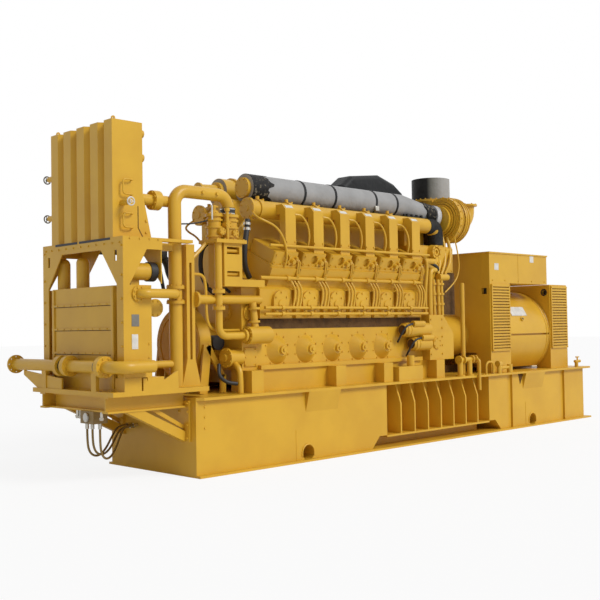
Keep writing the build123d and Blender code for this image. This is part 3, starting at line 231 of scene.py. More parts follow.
def lagging(name, light, dark, scale, places):
    """A matt, uneven skin in two tones: worn cloth, straps, and painted shade on the dark strips and plates in gaps
    and under ledges.
    """
    material, nodes, links, shader = new_material(name)
    place, ramp = mottle(nodes, links, scale, 6, (dark, light), places)
    coat(links, shader, ramp.outputs["Color"], cloth_roughness, cloth_gloss)
    roughen(nodes, links, shader, place, 14, 0.6, 0.03)
    return material


def share_between(nodes, links, value, low, high):
    """How far a value lies between two limits, from 0 to 1."""
    spread = nodes.new("ShaderNodeMapRange")
    spread.inputs["From Min"].default_value = low
    spread.inputs["From Max"].default_value = high
    links.new(value, spread.inputs["Value"])
    return spread.outputs["Result"]


def larger(nodes, links, first, second):
    """The larger of two values."""
    choice = nodes.new("ShaderNodeMath")
    choice.operation = "MAXIMUM"
    links.new(first, choice.inputs[0])
    links.new(second, choice.inputs[1])
    return choice.outputs[0]


def blanket_lagging(name):
    """Heat cloth: silver on the blankets, black on the hump, and black cloth on the stack's front deepened by painted
    shade on its shaded side, grading to pale grey behind on its lit side.
    """
    material, nodes, links, shader = new_material(name)
    place, silver = mottle(nodes, links, 5, 5, (silver_cloth_dark, silver_cloth), (0.30, 0.70))
    parts = nodes.new("ShaderNodeSeparateXYZ")
    links.new(place.outputs["Object"], parts.inputs["Vector"])
    slant = nodes.new("ShaderNodeVectorMath")
    slant.operation = "DOT_PRODUCT"
    slant.inputs[1].default_value = (1, -1, 0)
    links.new(place.outputs["Object"], slant.inputs[0])
    along = share_between(nodes, links, slant.outputs["Value"], stack_left, stack_right)
    shade = nodes.new("ShaderNodeValToRGB")
    shade.color_ramp.elements[0].color = hump_cloth
    shade.color_ramp.elements[1].color = stack_cloth
    shade.color_ramp.elements[1].position = 0.75
    # Painted shade: black, then a darker grey, across the stack's shaded side before its pale lit side
    for position, colour in ((0.05, black_cloth), (0.34, black_cloth), (0.46, stack_cloth_painted_shade)):
        element = shade.color_ramp.elements.new(position)
        element.color = colour
    links.new(along, shade.inputs["Fac"])
    above = share_between(nodes, links, parts.outputs["Z"], dark_cloth_bottom, dark_cloth_full)
    blend = nodes.new("ShaderNodeMix")
    blend.data_type = "RGBA"
    links.new(above, blend.inputs[0])
    links.new(silver.outputs["Color"], blend.inputs[6])
    links.new(shade.outputs["Color"], blend.inputs[7])
    coat(links, shader, blend.outputs[2], blanket_roughness, cloth_gloss)
    roughen(nodes, links, shader, place, 9, 0.5, 0.03)
    return material


def deeper(colour):
    """A darker tone of a colour."""
    return tuple(channel * deeper_share for channel in colour[:3]) + (1.0,)


def plain(name, colour, roughness, metallic=0.0):
    """A plain finish with a faint mottle of its own colour."""
    material, nodes, links, shader = new_material(name)
    place, ramp = mottle(nodes, links, 12, 3, (deeper(colour), colour))
    links.new(ramp.outputs["Color"], shader.inputs["Base Color"])
    shader.inputs["Roughness"].default_value = roughness
    shader.inputs["Metallic"].default_value = metallic
    roughen(nodes, links, shader, place, 120, 0.04, 0.004)
    return material


def make_stage():
    """A plain pale floor, a white sky for the camera and one broad key light."""
    sheet = bmesh.new()
    bmesh.ops.create_grid(sheet, x_segments=1, y_segments=1, size=floor_size / 2)
    mesh = bpy.data.meshes.new("floor")
    sheet.to_mesh(mesh)
    sheet.free()
    floor = bpy.data.objects.new("floor", mesh)
    bpy.context.collection.objects.link(floor)
    material, nodes, links, shader = new_material("pale_floor")
    shader.inputs["Base Color"].default_value = floor_colour
    shader.inputs["Roughness"].default_value = floor_roughness
    glow = nodes.new("ShaderNodeEmission")
    glow.inputs["Color"].default_value = white
    seen = nodes.new("ShaderNodeLightPath")
    share = nodes.new("ShaderNodeMath")
    share.operation = "MULTIPLY"
    share.inputs[1].default_value = floor_glow_share
    links.new(seen.outputs["Is Camera Ray"], share.inputs[0])
    blend = nodes.new("ShaderNodeMixShader")
    links.new(share.outputs[0], blend.inputs[0])
    links.new(shader.outputs["BSDF"], blend.inputs[1])
    links.new(glow.outputs["Emission"], blend.inputs[2])
    links.new(blend.outputs["Shader"], nodes["Material Output"].inputs["Surface"])
    mesh.materials.append(material)

    world = bpy.data.worlds.new("white_sky")
    bpy.context.scene.world = world
    world.use_nodes = True
    sky_nodes = world.node_tree.nodes
    sky_links = world.node_tree.links
    backdrop = sky_nodes["Background"]
    backdrop.inputs["Color"].default_value = white
    path = sky_nodes.new("ShaderNodeLightPath")
    direct = larger(sky_nodes, sky_links, path.outputs["Is Camera Ray"], path.outputs["Is Glossy Ray"])
    seen_sky = larger(sky_nodes, sky_links, direct, path.outputs["Is Transmission Ray"])
    level = sky_nodes.new("ShaderNodeMapRange")
    level.inputs["To Min"].default_value = sky_strength
    level.inputs["To Max"].default_value = 1.0
    sky_links.new(seen_sky, level.inputs["Value"])
    sky_links.new(level.outputs["Result"], backdrop.inputs["Strength"])

    key = bpy.data.lights.new("key_light", "SUN")
    key.energy = key_strength
    key.angle = key_angle
    lamp = bpy.data.objects.new("key_light", key)
    lamp.rotation_mode = "QUATERNION"
    lamp.rotation_quaternion = (-key_from).to_track_quat("-Z", "Y")
    bpy.context.collection.objects.link(lamp)
    bpy.context.scene.view_settings.view_transform = "Standard"


def dress(name, material):
    """Gives a CAD node a finish."""
    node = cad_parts[name]
    node.data.materials.clear()
    node.data.materials.append(material)


def hang_hose(name, start, end, offsets, material):
    """One hanging hose on a smooth curve, from under the control box to the base's front face."""
    leave = Vector((base_front_x + start[0], start[1], control_box_bottom - hose_fitting_length))
    arrive = Vector((base_front_x - hose_fitting_length, end[0], end[1]))
    route = [leave] + [leave + Vector(offset) for offset in offsets]
    route += [arrive - Vector((hose_lead, 0, 0)), arrive]
    data = bpy.data.curves.new(name, "CURVE")
    data.dimensions = "3D"
    data.bevel_depth = hose_radius
    data.bevel_resolution = hose_facets
    spline = data.splines.new("NURBS")
    spline.points.add(len(route) - 1)
    for point, place in zip(spline.points, route):
        point.co = (*place, 1.0)
    spline.order_u = 3
    spline.use_endpoint_u = True
    spline.resolution_u = hose_steps
    data.materials.append(material)
    piece = bpy.data.objects.new(name, data)
    bpy.context.collection.objects.link(piece)
    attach(piece, "set")
    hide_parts(name.replace("_rubber", ""))


def finish_piece(name, shape, material):
    """Turns a modelled shape into a piece that rides on the set."""
    bmesh.ops.remove_doubles(shape, verts=shape.verts, dist=merge_distance)
    bmesh.ops.recalc_face_normals(shape, faces=shape.faces)
    mesh = bpy.data.meshes.new(name)
    shape.to_mesh(mesh)
    shape.free()
    mesh.shade_smooth()
    mesh.set_sharp_from_angle(angle=sharp_angle)
    mesh.materials.append(material)
    piece = bpy.data.objects.new(name, mesh)
    bpy.context.collection.objects.link(piece)
    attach(piece, "set")


def new_shapes(count):
    """Empty shapes to model in."""
    return [bmesh.new() for _ in range(count)]


def facing(direction):
    """The turn that points a shape's own Z along a direction."""
    return Vector(direction).to_track_quat("Z", "Y").to_matrix().to_4x4()


def edges_of(verts):
    """All edges that meet the given corners."""
    return list({edge for vert in verts for edge in vert.link_edges})


def add_box(shape, low, high, bevel=0.0):
    """A box between two corners, with its edges eased if a bevel is given."""
    low, high = Vector(low), Vector(high)
    size = high - low
    matrix = Matrix.Translation((low + high) / 2) @ Matrix.Diagonal((*size, 1))
    made = bmesh.ops.create_cube(shape, size=1.0, matrix=matrix)["verts"]
    if bevel:
        bmesh.ops.bevel(shape, geom=edges_of(made), offset=bevel, affect="EDGES", segments=2, profile=0.5,
                        material=-1)


def add_side_box(shape, side, low, high, bevel=0.0):
    """A box on one side of the set, its corners given by their distance from the middle line."""
    near, far = sorted((side * low[1], side * high[1]))
    add_box(shape, spot(low[0], near, low[2]), spot(high[0], far, high[2]), bevel)


def add_rod(shape, start, end, radius, end_radius=None, sides=20):
    """A round bar or cone between two places."""
    start, end = Vector(start), Vector(end)
    along = end - start
    matrix = Matrix.Translation((start + end) / 2) @ facing(along)
    end_radius = radius if end_radius is None else end_radius
    bmesh.ops.create_cone(shape, cap_ends=True, segments=sides, radius1=radius, radius2=end_radius,
                          depth=along.length, matrix=matrix)


def add_post(shape, foot, top, radius, end_radius=None, sides=20):
    """An upright round bar from its foot to a height."""
    add_rod(shape, foot, (foot.x, foot.y, top), radius, end_radius, sides)


def add_bar(shape, start, end_x, radius, end_radius=None, sides=20):
    """A round bar along the set, from its start to a place behind the base's front edge."""
    add_rod(shape, start, (base_front_x + end_x, start.y, start.z), radius, end_radius, sides)


def add_plate(shape, corners, depth):
    """A flat plate: its outline filled, then extruded by a depth."""
    verts = [shape.verts.new(corner) for corner in corners]
    face = bmesh.ops.contextual_create(shape, geom=verts)["faces"]
    grown = bmesh.ops.extrude_face_region(shape, geom=face)["geom"]
    moved = [item for item in grown if isinstance(item, bmesh.types.BMVert)]
    bmesh.ops.translate(shape, vec=depth, verts=moved)


def add_strut(shape, start, end, width, depth):
    """A flat bar between two places in one plane along the set, its depth across the set."""
    along = end - start
    across = Vector((0, 1, 0))
    turn = Matrix((across.cross(along).normalized(), across, along.normalized())).transposed().to_4x4()
    matrix = Matrix.Translation((start + end) / 2) @ turn @ Matrix.Diagonal((width, depth, along.length, 1))
    bmesh.ops.create_cube(shape, size=1.0, matrix=matrix)


def add_bolt(shape, place, direction, radius=0.014, height=0.014):
    """A hexagon bolt head standing on a surface."""
    direction = Vector(direction).normalized()
    add_rod(shape, place - direction * bolt_sink, place + direction * height, radius, radius * bolt_taper, sides=6)


def add_side_bolts(shape, side, rows, out, heights, radius=0.014, height=0.014):
    """Bolt heads on a face at one side of the set, wherever a row along it meets a height."""
    for x in rows:
        for z in heights:
            add_bolt(shape, spot(x, side * out, z), (0, side, 0), radius, height)


def add_bolt_circle(shape, centre, direction, circle_radius, count, radius=0.014, height=0.014):
    """Bolt heads round a flange."""
    turn = facing(direction).to_3x3()
    for index in range(count):
        angle = math.tau * (index + 0.5) / count
        reach = turn @ Vector((math.cos(angle), math.sin(angle), 0)) * circle_radius
        add_bolt(shape, centre + reach, direction, radius, height)


def add_band(shape, start, end, inner, outer, sides=32):
    """A ring round an axis: its section is spun once round."""
    start, end = Vector(start), Vector(end)
    axis = (end - start).normalized()
    out = axis.orthogonal().normalized()
    corners = [shape.verts.new(place) for place in (
        start + out * inner, start + out * outer, end + out * outer, end + out * inner)]
    edges = [shape.edges.new((corners[index], corners[(index + 1) % 4])) for index in range(4)]
    bmesh.ops.spin(shape, geom=corners + edges, cent=start, axis=axis, angle=math.tau, steps=sides,
                   use_merge=True)


def soften(points, rounds=3):
    """Rounds the corners of a route by cutting them, keeping both ends."""
    route = [Vector(point) for point in points]
    for _ in range(rounds):
        cut = [route[0]]
        for here, there in zip(route, route[1:]):
            cut += [here.lerp(there, corner_share), here.lerp(there, 1 - corner_share)]
        route = cut + [route[-1]]
    return route


def add_tube(shape, points, radius, sides=8, rounds=3):
    """A bent tube: a circle extruded from place to place along a softened route."""
    route = soften(points, rounds)
    heading = (route[1] - route[0]).normalized()
    matrix = Matrix.Translation(route[0]) @ facing(heading)
    ring = bmesh.ops.create_circle(shape, cap_ends=False, segments=sides, radius=radius, matrix=matrix)
    edges = edges_of(ring["verts"])
    first_edges = list(edges)
    for index in range(1, len(route)):
        grown = bmesh.ops.extrude_edge_only(shape, edges=edges)["geom"]
        verts = [item for item in grown if isinstance(item, bmesh.types.BMVert)]
        new_ring = set(verts)
        edges = [item for item in grown if isinstance(item, bmesh.types.BMEdge)
                 and item.verts[0] in new_ring and item.verts[1] in new_ring]
        last = index == len(route) - 1
        ahead = heading if last else (route[index + 1] - route[index - 1]).normalized()
        turn = heading.rotation_difference(ahead).to_matrix()
        bmesh.ops.rotate(shape, cent=route[index - 1], matrix=turn, verts=verts)
        bmesh.ops.translate(shape, vec=route[index] - route[index - 1], verts=verts)
        heading = ahead
    bmesh.ops.contextual_create(shape, geom=first_edges)
    bmesh.ops.contextual_create(shape, geom=edges)


def fit_rocker_gear(material):
    """Small fittings on every rocker cover: an injector connector, knobs, lip bolts and two fuel tubes."""
    fittings, tubes, nuts = new_shapes(3)
    knobs = ((0.045, 1.215, 0.02, 0.028), (0.16, 1.205, 0.022, 0.03), (0.06, 1.13, 0.018, 0.022),
             (0.115, 1.165, 0.034, 0.045), (-0.16, 1.23, 0.014, 0.016), (-0.16, 1.13, 0.014, 0.016))
    for side in both_sides:
        axis = Vector((0, side * bank_sin, bank_cos))
        outward = Vector((0, side * bank_cos, -bank_sin))
        for throw in throws:
            x = throw - side * bank_stagger
            for dx, reach, radius, length in knobs:
                base = bank_spot(x + dx, side, reach, 0.22)
                add_rod(fittings, base, base + outward * length, radius, radius * 0.85, sides=10)
            for dx in (-0.18, -0.06, 0.06, 0.18):
                add_bolt(fittings, bank_spot(x + dx, side, 1.11, 0.229), axis, 0.013, 0.018)
            for dx, out in ((0.198, 0.238), (0.222, 0.244)):
                add_tube(tubes, (bank_spot(x + dx - 0.05, side, 1.18, 0.2), bank_spot(x + dx, side, 1.18, out),
                                 bank_spot(x + dx, side, 1.06, out + 0.03), bank_spot(x + dx, side, 0.975, 0.285)),
                         0.011, sides=8)
            nut = bank_spot(x + 0.21, side, 1.0, 0.282)
            add_rod(nuts, nut - axis * 0.02, nut + axis * 0.02, 0.026, sides=6)
    finish_piece("rocker_fittings", fittings, material)
    finish_piece("injector_tubes", tubes, material)
    finish_piece("injector_nuts", nuts, material)


def fit_block_sides(material, shade):
    """Bolts on the jacket covers and doors, rail clips, drain tubes, block pipes and a strip of painted shade under
    the rails.
    """
    bolts, clips, drains, painted_shade_parts = new_shapes(4)
    for side, at in sided_places:
        out = Vector((0, side, 0))
        for throw in throws:
            for dx, z in ((-0.085, 1.78), (0.085, 1.78), (-0.085, 1.94), (0.085, 1.94), (0, 1.72), (0, 2.0)):
                add_bolt(bolts, at(throw + dx, 0.69, z), out, 0.013, 0.014)
            add_rod(bolts, at(throw, 0.69, 1.86), at(throw, 0.704, 1.86), 0.055, 0.048)
            rail = at(throw + 0.11, 0.664, 2.1645)
            add_band(clips, rail, rail + Vector((0.05, 0, 0)), 0.021, 0.033, sides=16)
            for z in (1.815, 1.742):
                clip = at(throw - 0.03, 0.718, z)
                add_band(clips, clip, clip + Vector((0.04, 0, 0)), 0.015, 0.029, sides=12)
            gap = throw + 0.237
            for dx in (-0.05, 0.005, 0.06):
                add_tube(drains, (at(gap + dx - 0.01, 0.672, 2.135), at(gap + dx + 0.03, 0.7, 2.05),
                                  at(gap + dx + 0.02, 0.706, 1.93), at(gap + dx - 0.03, 0.716, 1.8)), 0.013)
        for z in (1.815, 1.742):
            add_bar(drains, at(1.09, 0.718, z), 4.11, 0.018, sides=12)
        add_bar(drains, at(1.18, 0.722, 2.545), 4.16, 0.017, sides=12)
        # Painted shade: a dark strip on the block's side under the rails
        add_side_box(painted_shade_parts, side, (1.1, 0.6, 1.57), (4.09, 0.606, 1.69))
        for throw in throws[:-1]:
            add_bolt_circle(bolts, at(throw, 0.6, 1.32), out, 0.186, 10, 0.01, 0.012)
            add_bolt(bolts, at(throw, 0.725, 1.32), out, 0.022, 0.016)
        for throw in throws[:-1]:
            x = throw - side * bank_stagger
            add_tube(drains, (at(x + 0.165, 0.7, 2.93), at(x + 0.26, 0.73, 2.92), at(x + 0.345, 0.74, 2.8),
                              at(x + 0.37, 0.735, 2.66), at(x + 0.372, 0.7, 2.56)), 0.012)
    finish_piece("block_bolts", bolts, material)
    finish_piece("rail_clips", clips, material)
    finish_piece("drain_tubes", drains, material)
    finish_piece("rail_painted_shade", painted_shade_parts, shade)


def fit_runners(pale, material):
    """Pale plates on the runners' shoulders as painted highlights, their edge bolts and the manifold's vent plugs."""
    plates, plugs = new_shapes(2)
    for side, at in sided_places:
        for throw in throws:
            x = throw - side * bank_stagger + 0.085
            # Painted highlight: a pale plate on each runner's sloping shoulder, where light glints
            middle = at(x, 0.675, 3.02)
            slope = Vector((0, side, 1)).normalized()
            matrix = Matrix.Translation(middle + slope * plate_lift) @ facing(slope)
            bmesh.ops.create_cube(plates, size=1.0, matrix=matrix @ Matrix.Diagonal((0.12, 0.045, 0.004, 1)))
            add_side_bolts(plugs, side, (x - 0.07, x + 0.07), 0.705, (2.6,), 0.012, 0.012)
            add_post(plugs, at(throw - 0.147, 0.455, 3.1), 3.145, 0.022)
            add_post(plugs, at(throw - 0.06, 0.455, 3.09), 3.12, 0.015)
    finish_piece("runner_painted_highlights", plates, pale)
    finish_piece("manifold_plugs", plugs, material)


def wrap_exhaust(material, black, dark, bright, silver):
    """Worn black wraps, straps with a buckle, dark elbow wraps, bright bellows and the far sleeve."""
    wraps, straps, buckles, elbows, rings, sleeves = new_shapes(6)
    start = spot(1.212, -0.25, 3.265)
    add_band(wraps, start, spot(1.49, -0.25, 3.265), 0.164, 0.173, sides=40)
    for vert in wraps.verts:
        if vert.co.x > start.x + 0.2:
            angle = math.atan2(vert.co.z - 3.265, vert.co.y + 0.25)
            vert.co.x += 0.045 * math.sin(angle * 5) + 0.03 * math.sin(angle * 11 + 1)
    add_band(sleeves, spot(1.212, 0.25, 3.265), spot(1.62, 0.25, 3.265), 0.164, 0.174, sides=40)
    add_band(sleeves, spot(1.4, 0.25, 3.265), spot(1.44, 0.25, 3.265), 0.17, 0.196, sides=40)
    add_rod(sleeves, spot(0.9, 0.25, 3.27), spot(1.168, 0.25, 3.285), 0.072)
    add_bar(sleeves, spot(0.89, 0.25, 3.27), 0.915, 0.092)
    for side, at in sided_places:
        y, z, radius = side * 0.25, 3.265, 0.168
        for x in (2.06, 2.62, 3.42, 3.86):
            add_band(straps, spot(x, y, z), spot(x + 0.035, y, z), radius - 0.002, radius + 0.006)
        add_box(buckles, spot(3.4, y + side * 0.15 - 0.03, z - 0.13), spot(3.475, y + side * 0.15 + 0.03, z - 0.06),
                0.008)
        for x in (4.705, 4.735, 4.765):
            add_band(rings, at(x, 0.332, 3.152), at(x + 0.024, 0.335, 3.15), 0.12, 0.168, sides=36)
        sleeve = len(wraps.verts)
        add_band(wraps, at(4.5, 0.298, 3.198), at(4.68, 0.317, 3.17), 0.13, 0.16, sides=40)
        wraps.verts.ensure_lookup_table()
        for vert in wraps.verts[sleeve:]:
            angle = math.atan2(vert.co.z - 3.18, vert.co.y - side * 0.31)
            vert.co.x += 0.035 * math.sin(angle * 2 + 0.6) + 0.015 * math.sin(angle * 7)
        add_tube(straps, (at(4.02, 0.4, 3.12), at(4.18, 0.43, 3.09), at(4.33, 0.42, 3.11), at(4.56, 0.43, 3.04)),
                 0.022, sides=10)
        for x in (4.06, 4.16, 4.27, 4.38):
            add_post(straps, at(x, 0.43, 3.05), 3.14, 0.02, sides=8)
        add_tube(elbows, (at(4.44, 0.455, 2.99), at(4.66, 0.455, 2.99), at(4.66, 0.455, 2.72)), 0.112, sides=24,
                 rounds=4)
    finish_piece("worn_wraps", wraps, black)
    finish_piece("blanket_straps", straps, dark)
    finish_piece("strap_buckles", buckles, bright)
    finish_piece("elbow_wraps", elbows, dark)
    finish_piece("turbo_bellows", rings, silver)
    finish_piece("far_exhaust_sleeve", sleeves, material)


def fit_turbos(material):
    """Bolts, rings and ribs on the turbochargers, and bolts on the gas outlet, inlet mouths and caps."""
    bolts = bmesh.new()
    for side, at in sided_places:
        add_bolt_circle(bolts, at(4.9, 0.4, 3.11), forward, 0.305, 18)
        for index in range(20):
            angle = math.tau * index / 20
            rim = Vector((0, math.cos(angle), math.sin(angle)))
            if abs(side * 0.4 + rim.y * 0.33) > 0.3 or rim.z < -0.3:
                add_bolt(bolts, at(4.94, 0.4, 3.11) + rim * 0.329, rim)
        add_bolt_circle(bolts, at(5.53, 0.4, 3.385), upward, 0.13, 8, 0.012, 0.012)
        add_bolt_circle(bolts, at(1.165, 0.25, 3.265), forward, 0.105, 8, 0.01, 0.01)
        add_bolt_circle(bolts, at(1.06, 0.455, 2.99), forward, 0.108, 8, 0.01, 0.01)
        add_bar(bolts, at(1.06, 0.455, 2.99), 1.05, 0.04, 0.034)
        for inner, outer, depth in ((0.205, 0.228, 0.05), (0.24, 0.262, 0.034), (0.272, 0.284, 0.02)):
            add_band(bolts, at(4.9 - depth, 0.4, 3.11), at(4.901, 0.4, 3.11), inner, outer, sides=48)
        for x in (4.985, 5.035, 5.085, 5.135):
            rib = [at(x, 0.4, 3.11) + Vector((0, side * math.cos(turn), math.sin(turn))) * 0.331
                   for turn in (math.radians(step) for step in range(-80, 81, 10))]
            add_tube(bolts, rib, 0.01, sides=6, rounds=1)
    add_bolt_circle(bolts, spot(5.165, 0, 3.45), upward, 0.303, 24, 0.013, 0.014)
    finish_piece("turbo_bolts", bolts, material)


def fit_front_end(material, black, bright):
    """Fittings at the engine's front: struts, rods, rubber sleeves, clamps, gauges and housing bolts."""
    iron, rubber, shiny = new_shapes(3)
    y = -0.6
    add_rod(iron, spot(0.11, y, 2.33), spot(0.36, y + 0.02, 2.54), 0.022, sides=8)
    add_tube(rubber, (spot(-0.03, y, 2.72), spot(0.17, y, 2.735), spot(0.38, y, 2.79)), 0.008, sides=6)
    add_band(rubber, spot(0.65, y, 2.862), spot(0.65, y, 2.94), 0.07, 0.084, sides=28)
    for z in (2.868, 2.92):
        add_band(shiny, spot(0.65, y, z), spot(0.65, y, z + 0.012), 0.082, 0.088, sides=28)
    add_post(iron, spot(0.45, y, 2.86), 2.9, 0.066, 0.04)
    add_post(iron, spot(0.45, y, 2.9), 2.96, 0.022, sides=12)
    add_bar(iron, spot(0.395, y, 2.945), 0.505, 0.012, sides=8)
    add_post(iron, spot(0.545, -0.715, 2.57), 2.89, 0.02, sides=12)
    add_post(iron, spot(0.545, -0.715, 2.89), 2.925, 0.03, sides=12)
    add_post(shiny, spot(0.33, -0.715, 2.78), 2.94, 0.01, sides=10)
    for z in (2.19, 2.45):
        add_bar(iron, spot(0.516, -0.69, z), 0.694, 0.024, sides=12)
    for x, radius in ((0.45, 0.08), (0.65, 0.105)):
        for z in (2.6, 2.7, 2.78):
            add_band(iron, spot(x, y, z), spot(x, y, z + 0.022), radius - 0.004, radius + 0.016, sides=28)
    for x, z in ((0.47, 2.66), (0.66, 2.65), (0.56, 2.74)):
        add_rod(iron, spot(x, -0.66, z), spot(x, -0.728, z), 0.048, 0.042)
        add_bolt_circle(iron, spot(x, -0.728, z), (0, -1, 0), 0.03, 5, 0.007, 0.01)
    for x, radius in ((0.45, 0.1), (0.65, 0.125)):
        add_bolt_circle(iron, spot(x, y, 2.86), upward, radius - 0.014, 8, 0.01, 0.012)
    for x in (0.37, 0.47, 0.6, 0.74):
        add_bolt(iron, spot(x, -0.762, 2.57), upward, 0.011, 0.012)
    for x in (0.24, 0.44):
        add_rod(iron, spot(x, -0.668, 3.08), spot(x, -0.69, 3.08), 0.02, sides=12)
    for flange in (1.788, 1.974):
        add_bolt_circle(iron, spot(0.42, -0.7, flange + 0.036), upward, 0.058, 6, 0.009, 0.012)
    for z in (1.89, 2.049):
        add_bolt_circle(iron, spot(-0.095, y, z), upward, 0.085, 8, 0.008, 0.012)
    add_bolt_circle(iron, spot(0.15, -0.65, 1.905), (1, 0, 0), 0.068, 6, 0.01, 0.012)
    add_tube(rubber, (spot(0.985, -0.56, 2.84), spot(0.94, -0.585, 2.68), spot(0.9, -0.59, 2.5),
                      spot(0.96, -0.52, 2.3), spot(1.1, -0.44, 2.18)), 0.032, sides=12)
    for z in (2.8, 2.74):
        add_band(shiny, spot(0.965, -0.572, z), spot(0.96, -0.574, z - 0.03), 0.03, 0.044, sides=16)
    add_tube(rubber, (spot(0.86, 0.45, 2.045), spot(0.6, 0.42, 2.18), spot(0.53, 0.4, 2.42), spot(0.34, 0.4, 2.49),
                      spot(-0.02, 0.46, 2.5), spot(-0.39, 0.56, 2.5)), 0.05, sides=14)
    add_box(rubber, spot(0.28, 0.34, 2.42), spot(0.5, 0.46, 2.53), 0.01)
    add_rod(rubber, spot(0.39, 0.4, 2.47), spot(0.48, 0.4, 2.045), 0.022, sides=12)
    add_rod(rubber, spot(0.46, 0.4, 2.05), spot(0.84, 0.4, 2.02), 0.022, sides=12)
    for _, at in sided_places:
        add_bolt_circle(iron, at(0.82, 0.7, 1.5), forward, 0.082, 8, 0.011, 0.012)
        add_band(iron, at(0.77, 0.7, 1.5), at(0.8, 0.7, 1.5), 0.04, 0.07, sides=24)
    add_bolt_circle(iron, spot(0.38, 0, 1.41), forward, 0.375, 24, 0.011, 0.012)
    add_band(iron, spot(0.372, 0, 1.41), spot(0.381, 0, 1.41), 0.335, 0.4, sides=48)
    for y in (-0.5, -0.3, -0.1, 0.1, 0.3, 0.5):
        add_bolt(iron, spot(0.833, y, 2.01), forward, 0.013, 0.014)
    finish_piece("front_end_iron", iron, material)
    finish_piece("front_end_rubber", rubber, black)
    finish_piece("front_end_clamps", shiny, bright)


def fit_front_pipes(material, black):
    """Pipes, pumps, covers and the damper's support round the lower front of the engine."""
    iron, rubber = new_shapes(2)
    for side, at in sided_places:
        out = Vector((0, side, 0))
        y = side * 0.425
        add_strut(iron, spot(0.4, y, 0.852), spot(0.465, y, 1.4), 0.11, 0.03)
        add_strut(iron, spot(0.47, y, 1.39), spot(0.69, y, 1.03), 0.07, 0.03)
        add_strut(iron, spot(0.69, y, 0.852), spot(0.69, y, 1.06), 0.07, 0.03)
        add_rod(rubber, at(0.69, 0.245, 1.42), at(0.69, 0.36, 1.42), 0.085, sides=28)
        add_rod(iron, at(0.95, 0.7, 1.59), at(0.95, 0.665, 1.87), 0.042)
        for z in (1.64, 1.79):
            add_band(iron, at(0.95, 0.69, z), at(0.95, 0.688, z + 0.025), 0.036, 0.066, sides=24)
        add_bar(iron, at(0.64, 0.56, 1.25), 0.834, 0.09)
        add_bar(iron, at(0.62, 0.56, 1.25), 0.645, 0.112)
        add_bolt_circle(iron, at(0.62, 0.56, 1.25), forward, 0.096, 8, 0.01, 0.012)
        add_bar(iron, at(0.62, 0.56, 1.25), 0.59, 0.045)
        add_tube(iron, (at(0.72, 0.6, 1.19), at(0.72, 0.69, 1.12), at(0.72, 0.7, 0.98), at(0.72, 0.7, 0.852)), 0.034,
                 sides=14)
        add_tube(rubber, (at(0.56, 0.52, 1.18), at(0.52, 0.56, 1.06), at(0.56, 0.64, 0.98), at(0.68, 0.69, 0.96)),
                 0.022, sides=10)
        add_rod(iron, at(0.95, 0.599, 1.76), at(0.95, 0.622, 1.76), 0.095, sides=28)
        add_bolt_circle(iron, at(0.95, 0.622, 1.76), out, 0.08, 8, 0.01, 0.01)
        add_side_box(iron, side, (0.86, 0.599, 1.14), (1.05, 0.614, 1.36), 0.006)
        add_side_bolts(iron, side, (0.88, 1.03), 0.614, (1.16, 1.25, 1.34), 0.01, 0.01)
        for height, radius in ((1.78, 0.105), (1.23, 0.075)):
            add_bar(iron, at(0.834, 0.31, height), 0.812, radius, sides=28)
            add_bolt_circle(iron, at(0.812, 0.31, height), forward, radius - 0.018, 8, 0.01, 0.01)
        add_tube(iron, (at(1.062, 0.56, 2.93), at(1.02, 0.68, 2.86), at(1.12, 0.74, 2.81), at(1.26, 0.75, 2.76),
                        at(1.38, 0.75, 2.63), at(1.435, 0.75, 2.43), at(1.44, 0.69, 2.3)), 0.013)
    add_tube(iron, (spot(0.1, -0.63, 2.18), spot(0.25, -0.64, 2.18), spot(0.29, -0.64, 2.06), spot(0.29, -0.64, 1.64),
                    spot(0.42, -0.62, 1.56), spot(0.834, -0.56, 1.56)), 0.017, sides=10)
    add_tube(iron, (spot(0.78, -0.5, 2.64), spot(0.9, -0.48, 2.64), spot(0.98, -0.44, 2.76),
                    spot(1.075, -0.44, 2.86)), 0.024, sides=10)
    add_tube(rubber, (spot(0.52, -0.42, 2.57), spot(0.47, -0.33, 2.48), spot(0.5, -0.28, 2.2), spot(0.64, -0.28, 2.0),
                      spot(0.834, -0.3, 1.96)), 0.026, sides=10)
    add_tube(rubber, (spot(0.56, -0.4, 2.53), spot(0.6, -0.33, 2.4), spot(0.64, -0.34, 2.16), spot(0.834, -0.4, 2.0)),
             0.018, sides=10)
    add_bar(iron, spot(-0.56, -0.56, 1.81), -0.41, 0.05)
    add_rod(iron, spot(-0.4, -0.48, 1.81), spot(-0.4, -0.66, 1.81), 0.072)
    add_rod(iron, spot(-0.4, -0.64, 1.81), spot(-0.4, -0.662, 1.81), 0.095, sides=28)
    add_bolt_circle(iron, spot(-0.4, -0.662, 1.81), (0, -1, 0), 0.08, 8, 0.011, 0.012)
    finish_piece("front_pipes", iron, material)
    finish_piece("front_rubber_pipes", rubber, black)


